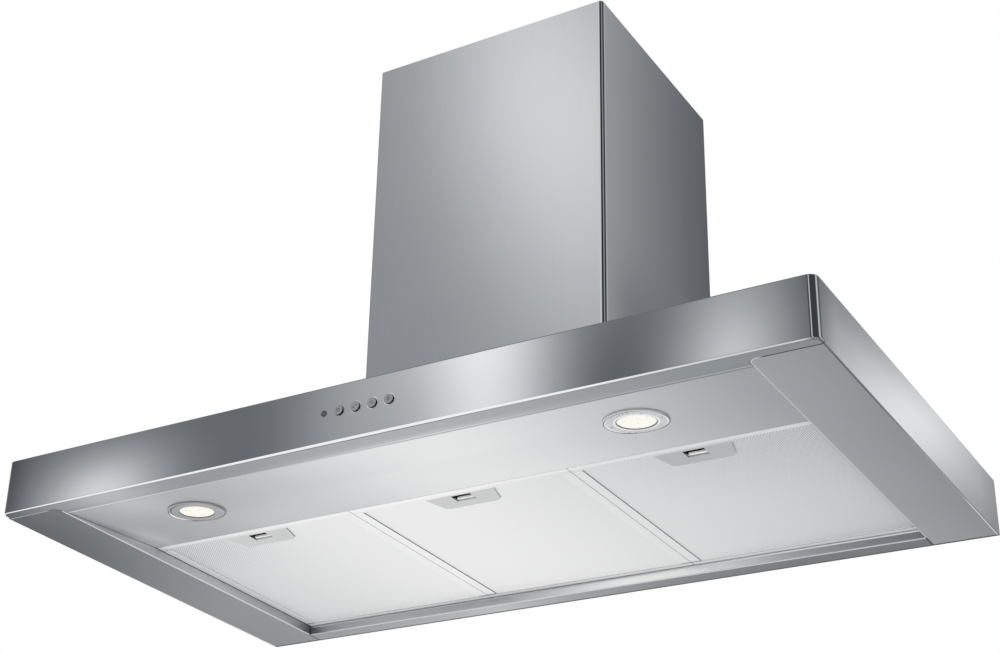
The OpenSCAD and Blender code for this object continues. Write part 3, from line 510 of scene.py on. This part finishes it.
def chimney_steel():
    """The lower chimney's steel: a painted broad shine on its front, and sides painted darker, more
    so towards the rear.
    """
    g = Graph("chimney_steel", metallic=1.0, anisotropic=0.5, specular_tint=DULL_GRAZING)
    rise = g.add(g.z, -0.47)
    shear = g.add(g.x, g.times(rise, 0.25), -0.09)
    across = g.square(g.math("DIVIDE", shear, 0.16))
    up = g.square(g.math("DIVIDE", rise, 0.36))
    front = g.add(0.52, g.times(g.fade(g.add(across, up)), 0.275))
    side = g.glows(
        g.add(0.60, g.times(g.add(g.y, 0.27), -0.97)),
        (-0.09, (0, -0.20, 0.21), (None, 0.07, 0.07)),
        (0.06, (0, -0.06, 0.24), (None, 0.04, 0.05)),
    )
    nx2 = g.square(g.nx)
    tone = g.mix(nx2, front, side)
    # Painted reflections: the corner bends are two dark bars round a grey one, with a light border
    # on each side, and painted shade along the wall
    bend = g.times(g.window(nx2, 0.02, 0.98, 0.015), g.smooth(g.x, 0, 0.1))
    corner_x = CHIMNEY_HIGH.x - CHIMNEY_BEND
    corner_y = CHIMNEY_LOW.y + CHIMNEY_BEND
    side_border = g.window(g.y, corner_y + 0.2 * MM, corner_y + 2.4 * MM, 0.5 * MM)
    tone = g.paint(
        tone,
        (g.window(g.x, corner_x - 1.6 * MM, corner_x - 0.2 * MM, 0.4 * MM), 0.75),
        (g.times(side_border, nx2), 0.68),
        (bend, 0.12),
        (g.times(bend, g.window(nx2, 0.28, 0.70, 0.05)), 0.50),
        (g.times(g.smooth(g.y, -1.8 * MM, -1.0 * MM), nx2), 0.30),
    )
    brush(g, tone, GRAIN_Z)
    g.tangent("Z")
    return g.material


def plain_steel(name, tone, grain=GRAIN_X, roughness=0.3):
    g = Graph(name, metallic=1.0)
    brush(g, tone, grain, roughness=roughness)
    return g.material


def zinc():
    """Hot-dipped zinc with its crystal flakes."""
    g = Graph("zinc_sheet", metallic=1.0)
    flakes = g.nodes.new("ShaderNodeTexVoronoi")
    g.feed(flakes.inputs["Vector"], g.place)
    g.feed(flakes.inputs["Scale"], 90.0)
    shade = g.parts(flakes.outputs["Color"])[0]
    tone = g.add(0.60, g.times(g.add(shade, -0.5), 0.14), g.times(g.noise((40, 40, 40)), 0.08))
    g.set("Base Color", g.grey(tone, cool=0.02))
    g.set("Roughness", g.add(0.38, g.times(shade, 0.14)))
    return g.material


def filter_tone(g):
    """The filters' tone with painted light: near white in the middle of the row, greyer at its
    ends.
    """
    return g.glows(
        0.83,
        (0.14, (-0.08, 0, 0), (0.27, None, None)),
        (0.03, (0, -0.02, 0), (None, 0.02, None)),
        (-0.04, (0.40, 0, 0), (0.03, None, None)),
    )


def dots(g):
    """Dots in rows along both diagonals, 1 at their centres."""
    turn = math.pi / HOLE_PITCH
    u = g.math("SINE", g.times(g.add(g.x, g.y), turn))
    v = g.math("SINE", g.times(g.math("SUBTRACT", g.x, g.y), turn))
    return g.smooth(g.times(g.square(u), g.square(v)), 0.2, 0.7)


def perforated_tone(g, hole):
    """The filters' tone with fine holes painted as dark dots of shade, darkest at both ends of the
    row.
    """
    depth = g.glows(
        0.05,
        (0.36, (-0.37, -0.31, 0), (0.09, 0.07, None)),
        (0.26, (0.30, -0.32, 0), (0.14, 0.09, None)),
        (0.22, (0.40, 0, 0), (0.10, None, None)),
    )
    return g.math("SUBTRACT", filter_tone(g), g.times(hole, depth))


def filter_frame_metal():
    """The filters' frames, painted bright, with rims painted light and a dotted line before the
    rear rim.
    """
    g = Graph("filter_frame_metal", metallic=0.15)
    # The rim's inner part is perforated too, up to a dotted line at the rear
    soft = 0.3 * MM
    line_y = FILTER_HIGH.y - 12 * MM
    inner_y = FILTER_LOW.y + 7 * MM
    window_y = inner_y + 6 * MM
    right_rim = g.times(g.smooth(g.x, 0.362, 0.363), g.window(g.y, window_y, line_y, soft))
    perforated = g.add(g.window(g.y, inner_y, window_y, soft), right_rim)
    hole = dots(g)
    lift = g.times(g.smooth(g.y, inner_y + 5 * MM, inner_y + 3.5 * MM), 0.02)
    # Walls inside the window are grey, dotted at the left, and the leftmost one painted dark as
    # shade; the gaps between frames are painted light so that they show faint
    facing_right = g.smooth(g.nx, 0.3, 0.8)
    facing_left = g.smooth(g.nx, -0.3, -0.8)
    inside = g.smooth(g.z, 12.6 * MM, 12.2 * MM)
    not_first = g.smooth(g.x, -0.3, -0.2)
    dark_dots = g.mix(g.smooth(g.x, 0.0, 0.2), -0.26, -0.10)
    dotted = g.add(0.82, g.times(hole, dark_dots))
    # Painted light: the frame a little lighter at the front, the rear rim and the front edge near
    # white; the dotted line before the rear rim painted darker
    tone = g.paint(
        g.add(filter_tone(g), lift),
        (perforated, perforated_tone(g, hole)),
        (g.smooth(g.y, line_y, line_y + soft), 0.94),
        (g.window(g.y, line_y - 1.0 * MM, line_y + 2.2 * MM, soft), g.add(dotted, -0.14)),
        (g.add(facing_right, facing_left), 0.98),
        (g.times(facing_right, inside), g.mix(not_first, dotted, 0.36)),
        (g.times(g.smooth(g.ny, -0.3, -0.8), inside), 0.90),
        (g.smooth(g.y, FILTER_LOW.y + 0.4 * MM, FILTER_LOW.y + 0.1 * MM), 0.97),
    )
    g.set("Base Color", g.grey(g.add(tone, g.times(g.noise((20, 300, 300)), 0.02))))
    g.set("Roughness", g.add(0.5, g.times(g.noise((80, 80, 80)), 0.1)))
    return g.material


def filter_sheet_metal():
    """Finely perforated aluminium: staggered holes painted as dots of shade in a sheet painted
    bright.
    """
    g = Graph("filter_sheet_metal", metallic=0.15)
    hole = dots(g)
    g.set("Base Color", g.grey(perforated_tone(g, hole)))
    g.set("Roughness", 0.5)
    g.bump(g.times(hole, -1.0), 0.2)
    return g.material


def mesh_metal():
    """Expanded aluminium mesh between the filters' sheets."""
    g = Graph("mesh_metal", metallic=1.0)
    weave = g.noise((700, 700, 700))
    g.set("Base Color", g.grey(g.add(0.72, g.times(weave, 0.3))))
    g.set("Roughness", 0.5)
    g.bump(weave, 0.5)
    return g.material


def plastic(name, tone, roughness=0.45):
    """Moulded plastic with a fine spark-eroded grain."""
    g = Graph(name)
    grain = g.noise(FINE_GRAIN)
    cloud = g.noise((25, 25, 25))
    g.set("Base Color", g.grey(g.add(tone, g.times(grain, 0.02), g.times(cloud, 0.02)), 0.02))
    g.set("Roughness", g.add(roughness, g.times(grain, 0.1)))
    g.bump(grain, 0.05)
    return g.material


def board_green():
    """Green solder resist over paler copper tracks."""
    g = Graph("board_green", roughness=0.35)
    trace = g.smooth(g.noise((160, 160, 160), detail=0.0), -0.02, 0.02)
    g.set("Base Color", g.blend(trace, (0.012, 0.10, 0.045, 1), (0.02, 0.16, 0.07, 1)))
    return g.material


def catch_plastic():
    """Grey housings, painted darker at the right end of the row, with painted shadow on walls
    facing right, in the finger slot and inside.
    """
    g = Graph("catch_plastic")
    tone = g.mix(g.smooth(g.x, 0.10, 0.20), 0.81, 0.70)
    grain = g.noise(FINE_GRAIN)
    tone = g.paint(
        g.add(tone, g.times(grain, 0.02)),
        (g.smooth(g.nx, 0.2, 0.6), 0.34),
        (g.smooth(g.z, 12.0 * MM, 12.4 * MM), 0.05),
    )
    g.set("Base Color", g.grey(tone, 0.015))
    g.set("Roughness", g.add(0.45, g.times(grain, 0.1)))
    g.bump(grain, 0.05)
    return g.material


def slide_plastic():
    """A catch's white slide, in deep shadow in front of its finger lip."""
    g = Graph("catch_slide_plastic", roughness=0.25)
    grain = g.noise(FINE_GRAIN)
    shadow = g.smooth(g.y, CATCH_FRONT_Y + 25.8 * MM, CATCH_FRONT_Y + 25.4 * MM)
    g.set("Base Color", g.grey(g.add(g.mix(shadow, 0.88, 0.06), g.times(grain, 0.02)), 0.01))
    return g.material


def bezel_metal():
    """A lamp's pressed ring with painted light and shade: a dark outline, a rim that catches the
    light, a darker ring at the left, and fine scratches.
    """
    g = Graph("bezel_metal", metallic=0.6)
    soft = 0.3 * MM
    on_right = g.smooth(g.x, -0.01, 0.01)
    on_left = g.math("SUBTRACT", 1.0, on_right)
    u = g.math("SUBTRACT", g.x, g.mix(on_right, LAMPS[0].x, LAMPS[1].x))
    v = g.add(g.y, -LAMPS[0].y)
    out = g.distance(u, v)
    across = g.math("DIVIDE", u, out)
    along = g.math("DIVIDE", v, out)
    left_way = g.add(g.times(across, -0.97), g.times(along, 0.23))
    front_left = g.add(g.times(across, -0.6), g.times(along, -0.8))
    outline = g.add(BEZEL_R - 1.3 * MM, g.times(g.square(along), -2.8 * MM))
    ring = g.mix(on_right, g.add(0.62, g.times(across, 0.03)), 0.80)
    scratch = g.smooth(g.noise((420, 420, 420), detail=3.0), 0.07, 0.16)
    marked = g.mix(on_right, g.smooth(across, 0.3, 0.9), g.smooth(g.square(along), 0.2, 0.7))
    lens_rim = g.window(out, LENS_R + 1.6 * MM, LENS_R + 3.4 * MM, soft)
    rim = g.window(out, BEZEL_R - 3.2 * MM, BEZEL_R - 1.6 * MM, soft)
    shade = g.window(out, BEZEL_R - 4.4 * MM, BEZEL_R - 3.0 * MM, soft)
    glint = g.window(out, BEZEL_R - 2.8 * MM, BEZEL_R - 1.0 * MM, soft)
    # Outside the painted outline the ring takes the lamp panel's painted tone, or a plain grey at
    # the left
    beyond = g.mix(on_right, 0.66, g.add(lamp_panel_tone(g), 0.02))
    # Painted highlights on the rims and the glint, a light side wall, and painted shade on the arc
    # at the front left, the outline and the ring round the lens
    tone = g.paint(
        ring,
        (g.times(scratch, marked), 0.50),
        (g.times(on_right, lens_rim), 0.93),
        (rim, g.mix(on_right, 0.70, 0.90)),
        (g.times(on_left, g.smooth(front_left, 0.6, 0.9), shade), 0.28),
        (g.times(on_left, g.smooth(left_way, 0.70, 0.92), glint), 0.99),
        (g.smooth(out, BEZEL_R - 0.5 * MM, BEZEL_R - 0.2 * MM), 0.95),
        (g.smooth(out, outline, g.add(outline, soft)), g.mix(on_right, 0.30, 0.38)),
        (g.smooth(out, g.add(outline, 1.0 * MM), g.add(outline, 1.3 * MM)), beyond),
        (g.smooth(out, LENS_R + 1.2 * MM, LENS_R + 0.7 * MM), 0.38),
    )
    g.set("Base Color", g.grey(tone))
    g.set("Roughness", g.add(0.35, g.times(g.noise(FINE_GRAIN), 0.1)))
    return g.material


def lens_glass():
    """A frosted lens, lit warm white from behind, with a few faint marks."""
    g = Graph("lens_glass", roughness=0.3)
    marks = g.smooth(g.noise((230, 230, 230), detail=1.0), 0.08, 0.22)
    warm = g.blend(marks, (1.0, 0.972, 0.88, 1), (0.74, 0.60, 0.50, 1))
    g.set("Base Color", (0.30, 0.293, 0.265, 1))
    g.set("Emission Color", warm)
    g.set("Emission Strength", 0.60)
    return g.material


def pilot_lens():
    """A dark pilot light, a little lighter in its middle."""
    g = Graph("pilot_lens", roughness=0.3)
    centre = g.smooth(g.distance(g.x, g.z, (PILOT.x, PILOT.z)), 2.2 * MM, 0.4 * MM)
    grain = g.noise(FINE_GRAIN)
    g.set("Base Color", g.grey(g.add(0.20, g.times(centre, 0.12), g.times(grain, 0.05))))
    return g.material


def button_steel(number):
    """A button's cap with its plain mark: a ring, two dots, two strokes, or a dot over a ring."""
    g = Graph("button_steel_%d" % number, metallic=1.0)
    place = BUTTONS[number - 1]
    u, v = g.add(g.x, -place.x), g.add(g.z, -place.z)
    soft = 0.2 * MM

    def disc(centre, radius):
        return g.smooth(g.distance(u, v, centre), radius + soft, radius - soft)

    def ring(centre, radius):
        return g.math("SUBTRACT", disc(centre, radius), disc(centre, radius - 0.7 * MM))

    def stroke(middle_u):
        wide = g.window(u, middle_u - 0.35 * MM, middle_u + 0.35 * MM, soft)
        return g.times(wide, g.window(v, -1.3 * MM, 1.3 * MM, soft))

    if number == 1:
        mark = ring((0, 0), 1.8 * MM)
    elif number == 2:
        mark = g.add(disc((-1.2 * MM, -1.1 * MM), 0.7 * MM), disc((1.2 * MM, 1.1 * MM), 0.7 * MM))
    elif number == 3:
        mark = g.add(stroke(-1.1 * MM), stroke(1.1 * MM))
    else:
        mark = g.add(disc((0, 2.0 * MM), 0.6 * MM), ring((0, -0.8 * MM), 1.6 * MM))
    tone = g.paint(
        g.add(0.55, g.times(g.noise(GRAIN_X), 0.03)),
        (g.times(mark, 0.9), 0.25),
        # The cap's side wall is painted dark as shade
        (g.smooth(g.square(g.ny), 0.45, 0.2), 0.12),
    )
    g.set("Base Color", g.grey(tone))
    g.set("Roughness", 0.32)
    return g.material


MATERIALS = {
    "front_band": band_steel(),
    "side_panel": side_panel_steel(),
    "lamp_panel": lamp_panel_steel(),
    "back_wall": rear_steel(),
    "top_cover": plain_steel("cover_steel", 0.62),
    "lower_chimney": chimney_steel(),
    "upper_chimney": plain_steel("inner_chimney_steel", 0.60, GRAIN_Z),
    "filter_frame": filter_frame_metal(),
    "filter_grille": filter_sheet_metal(),
    "filter_pad": mesh_metal(),
    "catch_housing": catch_plastic(),
    "catch_slide": slide_plastic(),
    "lamp_bezel": bezel_metal(),
    "lamp_lens": lens_glass(),
    "led_lens": pilot_lens(),
    "control_board": board_green(),
    "terminal_box": plastic("terminal_plastic", 0.55),
}
ZINC = zinc()
FIXING = plain_steel("zinc_plated_steel", 0.50, (300, 300, 300), roughness=0.35)
CAN = plain_steel("drawn_aluminium", 0.76, roughness=0.35)
DARK = plastic("dark_plastic", 0.24)
WHITE = plastic("catch_white", 0.94, roughness=0.25)
for name in ("plenum_divider", "blower_box", "chimney_bracket", "motor_bracket"):
    MATERIALS[name] = ZINC
for name in ("catch_spring", "motor", "motor_shaft", "flap_pin", "blower_screws", "bracket_screws"):
    MATERIALS[name] = FIXING
for name in ("capacitor", "lamp_body"):
    MATERIALS[name] = CAN
for name in ("control_housing", "switch_block", "scroll", "impeller", "outlet_collar",
             "flap_front", "flap_rear", "cable_gland"):
    MATERIALS[name] = DARK
for number in BUTTON_NUMBERS:
    MATERIALS["button_%d" % number] = button_steel(number)


def material_for(node):
    """The material of a node, by its name or its name without the last word."""
    return MATERIALS.get(node) or MATERIALS[node.rsplit("_", 1)[0]]


for name, node in NODES.items():
    node.data.materials.clear()
    node.data.materials.append(material_for(name))


# Sheet metal with rounded edges

SHARP = math.radians(30)
FLAT = math.radians(0.5)
WELD = 0.002 * MM


def joined_copy(node):
    """The CAD node's mesh as a bmesh, with its corners welded and flat faces merged."""
    mesh = bmesh.new()
    mesh.from_mesh(NODES[node].data)
    bmesh.ops.remove_doubles(mesh, verts=mesh.verts, dist=WELD)
    bmesh.ops.dissolve_limit(mesh, angle_limit=FLAT, verts=mesh.verts, edges=mesh.edges)
    return mesh


def round_edges(mesh, radius, segments):
    """Rounds every sharp edge."""
    edges = [e for e in mesh.edges if len(e.link_faces) == 2 and e.calc_face_angle(0) > SHARP]
    bmesh.ops.bevel(
        mesh, geom=edges, offset=radius, offset_type="OFFSET", segments=segments,
        profile=0.5, affect="EDGES", clamp_overlap=True,
    )


def place_piece(name, mesh, body, material, slot, *replaced):
    """Makes a piece from a bmesh, which rides on a body and may replace nodes."""
    data = bpy.data.meshes.new(name)
    mesh.to_mesh(data)
    mesh.free()
    data.materials.append(material)
    piece = bpy.data.objects.new(name, data)
    bpy.context.scene.collection.objects.link(piece)
    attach(piece, body)
    if replaced:
        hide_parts(*replaced)
    return piece


def shade_smooth(piece):
    """Shades a sheet so that its flat faces stay flat and only its bends are round."""
    piece.data.shade_smooth()
    weights = piece.modifiers.new("flat_faces", "WEIGHTED_NORMAL")
    weights.mode = "FACE_AREA"
    weights.weight = 100


def sheet_piece(node, slot, radius):
    """A copy of a sheet-metal node with its sharp edges rounded."""
    mesh = joined_copy(node)
    round_edges(mesh, radius, 2)
    shade_smooth(place_piece(node + "_sheet", mesh, "hood", material_for(node), slot, node))


def arc(centre, radius, start, end, steps):
    """Points round an arc, from one angle in degrees to another."""
    angles = [math.radians(start + (end - start) * i / steps) for i in range(steps + 1)]
    return [(centre[0] + radius * math.cos(a), centre[1] + radius * math.sin(a)) for a in angles]


def wall_section(with_lip):
    """The band's wall as (depth, height) points, up its outer face and down its inner one."""
    top = BAND_HIGH.z
    chamfer = 0.2 * MM
    if with_lip:
        foot = arc((FOLD_R, FOLD_R), FOLD_R, -90, -180, 6)
        heel = arc((FOLD_R, FOLD_R), FOLD_R - SHEET, 180, 270, 6)
    else:
        foot = arc((EDGE_R, EDGE_R), EDGE_R, -90, -180, 6)
        heel = arc((SHEET - chamfer, chamfer), chamfer, 0, -90, 6)
    crown = [(0, top - chamfer), (chamfer, top), (SHEET - chamfer, top), (SHEET, top - chamfer)]
    return foot + crown + heel


def band_stations():
    """Places round the band from its left end to its right one: (point, inward way, with lip)."""
    lip_end = SIDE_LOW.y - JOINT_GAP
    half = [
        ((-HALF_WIDTH, BAND_HIGH.y), (1, 0), False),
        ((-HALF_WIDTH, lip_end + 0.2 * MM), (1, 0), False),
        ((-HALF_WIDTH, lip_end), (1, 0), True),
    ]
    centre = (-HALF_WIDTH + CORNER_R, FRONT_Y + CORNER_R)
    for point in arc(centre, CORNER_R, 180, 270, 12):
        inward = ((centre[0] - point[0]) / CORNER_R, (centre[1] - point[1]) / CORNER_R)
        half.append((point, inward, True))
    return half + [((-p[0], p[1]), (-n[0], n[1]), lip) for p, n, lip in reversed(half)]


def lip_edge():
    """The inner edge of the lip below the band, from its right end to its left one."""
    radius = PANEL_CORNER_R + JOINT_GAP
    corner = (SIDE_LOW.x + PANEL_CORNER_R, SIDE_LOW.y + PANEL_CORNER_R)
    right = arc(corner, radius, 270, 180, 8) + [(corner[0] - radius, LIP_REAR_Y)]
    return right + [(-x, y) for x, y in reversed(right)]


def folded_band():
    """The band bent from one sheet: its wall swept round the plan, and the lip folded in below."""
    mesh = bmesh.new()
    rings = []
    for (x, y), (nx, ny), with_lip in band_stations():
        ring = [mesh.verts.new((x + nx * d, y + ny * d, z)) for d, z in wall_section(with_lip)]
        rings.append((ring, with_lip))
    for (a, a_lip), (b, b_lip) in zip(rings, rings[1:]):
        last = len(a) - 1 if a_lip and b_lip else len(a)
        for i in range(last):
            j = (i + 1) % len(a)
            mesh.faces.new((a[i], b[i], b[j], a[j]))
    mesh.faces.new(rings[0][0])
    mesh.faces.new(rings[-1][0])
    lipped = [ring for ring, with_lip in rings if with_lip]
    below = [ring[0] for ring in lipped] + [mesh.verts.new((x, y, 0)) for x, y in lip_edge()]
    above = [ring[-1] for ring in lipped] + [mesh.verts.new((x, y, SHEET)) for x, y in lip_edge()]
    mesh.faces.new(below)
    mesh.faces.new(above)
    for i in range(len(lipped) - 1, len(below)):
        j = (i + 1) % len(below)
        mesh.faces.new((below[i], below[j], above[j], above[i]))
    bmesh.ops.recalc_face_normals(mesh, faces=mesh.faces)
    return mesh


def with_holes(mesh, holes):
    """Cuts round holes, each (centre, radius), through the band's front wall."""
    cutters = bmesh.new()
    for centre, radius in holes:
        turn = Matrix.Rotation(math.radians(90), 4, "X")
        place = Matrix.Translation((centre.x, FRONT_Y, centre.z)) @ turn
        bmesh.ops.create_cone(cutters, cap_ends=True, segments=48, radius1=radius,
                              radius2=radius, depth=4 * SHEET, matrix=place)
    blanks = []
    for name, source in (("band_blank", mesh), ("band_cutters", cutters)):
        data = bpy.data.meshes.new(name)
        source.to_mesh(data)
        source.free()
        blanks.append(bpy.data.objects.new(name, data))
        bpy.context.scene.collection.objects.link(blanks[-1])
    cut = blanks[0].modifiers.new("holes", "BOOLEAN")
    cut.object = blanks[1]
    cut.solver = "EXACT"
    result = bmesh.new()
    result.from_object(blanks[0], bpy.context.evaluated_depsgraph_get())
    # Removing a mesh removes its object too
    for blank in blanks:
        bpy.data.meshes.remove(blank.data)
    return result


def make_band():
    holes = [(place, BUTTON_HOLE_R) for place in BUTTONS] + [(PILOT, PILOT_R)]
    mesh = with_holes(folded_band(), holes)
    steel = material_for("front_band")
    band = place_piece("front_band_sheet", mesh, "hood", steel, "stainless", "front_band")
    shade_smooth(band)


make_band()

# Each sheet with its slot and the radius of its edges
ROUNDED_SHEETS = {
    "side_panel_left": ("stainless", 0.30 * MM),
    "side_panel_right": ("stainless", 0.30 * MM),
    "lamp_panel": ("stainless_light", 0.25 * MM),
    "back_wall": ("galvanised", 0.25 * MM),
    "lower_chimney": ("stainless", 0.20 * MM),
}
for node, (slot, radius) in ROUNDED_SHEETS.items():
    sheet_piece(node, slot, radius)

# Finger tongues and springs of the catches


def catch_tongue(number):
    """The white lip under a catch's finger slot, a flat bar with round ends."""
    slide = "catch_slide_%d" % number
    x = middle(slide).x
    radius = TONGUE_HEIGHT / 2
    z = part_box(slide)[0].z - TONGUE_DROP + radius
    front_y = CATCH_FRONT_Y + TONGUE_SETBACK
    outline = arc((x + TONGUE_RIGHT - radius, z), radius, -90, 90, 8)
    outline += arc((x - TONGUE_LEFT + radius, z), radius, 90, 270, 8)
    mesh = bmesh.new()
    face = mesh.faces.new([mesh.verts.new((px, front_y, pz)) for px, pz in outline])
    solid = bmesh.ops.extrude_face_region(mesh, geom=[face])
    moved = [item for item in solid["geom"] if isinstance(item, bmesh.types.BMVert)]
    bmesh.ops.translate(mesh, verts=moved, vec=(0, TONGUE_DEPTH, 0))
    bmesh.ops.recalc_face_normals(mesh, faces=mesh.faces)
    round_edges(mesh, TONGUE_EDGE_R, 3)
    name, body = "catch_tongue_%d" % number, "catch_%d" % number
    shade_smooth(place_piece(name, mesh, body, WHITE, "catch_white"))


def catch_spring(number):
    """A copy of a catch's coil spring."""
    node, joint_name = "catch_spring_%d" % number, "catch_%d_slide" % number
    mesh = bmesh.new()
    mesh.from_mesh(NODES[node].data)
    name, body = "spring_coil_%d" % number, "filter_%d" % number
    spring = place_piece(name, mesh, body, FIXING, "fixings", node)
    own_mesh(spring)


for number in FILTER_NUMBERS:
    catch_tongue(number)
    catch_spring(number)

# Camera at the photograph's angle: its place, its turn in degrees, its lens in mm and its shift

CAMERA_PLACE = (0.90367, -1.80955, -0.69689)
CAMERA_TURN = (117.1306, -2.6576, 32.7231)
CAMERA_LENS = 66.882
CAMERA_SHIFT = 0.12139


def make_camera():
    data = bpy.data.cameras.new("camera")
    data.sensor_width = 36
    data.lens = CAMERA_LENS
    data.shift_x = CAMERA_SHIFT
    camera = bpy.data.objects.new("camera", data)
    camera.location = CAMERA_PLACE
    camera.rotation_euler = [math.radians(angle) for angle in CAMERA_TURN]
    bpy.context.scene.collection.objects.link(camera)
    bpy.context.scene.camera = camera


# Floor, world and lamps

FLOOR_Z = -4.0
FLOOR_SIZE = 20.0
FLOOR_GLOW = 0.7


def seen_directly(nodes, links):
    """1 for camera, glossy and transmission rays, and 0 for the light on the object."""
    path = nodes.new("ShaderNodeLightPath")
    total = path.outputs["Is Camera Ray"]
    for name in ("Is Glossy Ray", "Is Transmission Ray"):
        add = nodes.new("ShaderNodeMath")
        add.operation = "ADD"
        add.use_clamp = True
        links.new(total, add.inputs[0])
        links.new(path.outputs[name], add.inputs[1])
        total = add.outputs[0]
    return total


def make_world():
    world = bpy.data.worlds.new("studio")
    bpy.context.scene.world = world
    world.use_nodes = True
    background = world.node_tree.nodes["Background"]
    background.inputs["Color"].default_value = (1, 1, 1, 1)
    background.inputs["Strength"].default_value = 1.0


def make_floor():
    """A pale floor that keeps the object's shadow and looks white behind it."""
    mesh = bmesh.new()
    bmesh.ops.create_grid(mesh, x_segments=8, y_segments=8, size=FLOOR_SIZE)
    data = bpy.data.meshes.new("floor")
    mesh.to_mesh(data)
    mesh.free()
    floor = bpy.data.objects.new("floor", data)
    floor.location.z = FLOOR_Z
    bpy.context.scene.collection.objects.link(floor)
    material = bpy.data.materials.new("pale_floor")
    material.use_nodes = True
    nodes, links = material.node_tree.nodes, material.node_tree.links
    shader = nodes["Principled BSDF"]
    shader.inputs["Base Color"].default_value = (0.92, 0.92, 0.92, 1)
    shader.inputs["Roughness"].default_value = 0.9
    glow = nodes.new("ShaderNodeEmission")
    mix = nodes.new("ShaderNodeMixShader")
    share = nodes.new("ShaderNodeMath")
    share.operation = "MULTIPLY"
    links.new(seen_directly(nodes, links), share.inputs[0])
    share.inputs[1].default_value = FLOOR_GLOW
    links.new(share.outputs[0], mix.inputs[0])
    links.new(shader.outputs[0], mix.inputs[1])
    links.new(glow.outputs[0], mix.inputs[2])
    links.new(mix.outputs[0], nodes["Material Output"].inputs["Surface"])
    data.materials.append(material)


def area_light(name, place, target, size, power):
    data = bpy.data.lights.new(name, "AREA")
    data.shape = "SQUARE"
    data.size = size
    data.energy = power
    light = bpy.data.objects.new(name, data)
    light.location = place
    direction = Vector(target) - Vector(place)
    light.rotation_euler = direction.to_track_quat("-Z", "Y").to_euler()
    light.visible_camera = False
    bpy.context.scene.collection.objects.link(light)


make_camera()
make_world()
make_floor()
area_light("key", (-2.2, -2.6, 2.4), (0, -0.2, 0.2), 2.2, 2.0)
area_light("fill", (2.8, -1.6, -1.6), (0, -0.2, 0.0), 2.0, 1.0)
area_light("rear", (0.5, 2.4, 2.0), (0, 0, 0.3), 2.0, 2.0)

bpy.context.scene.view_settings.view_transform = "Standard"
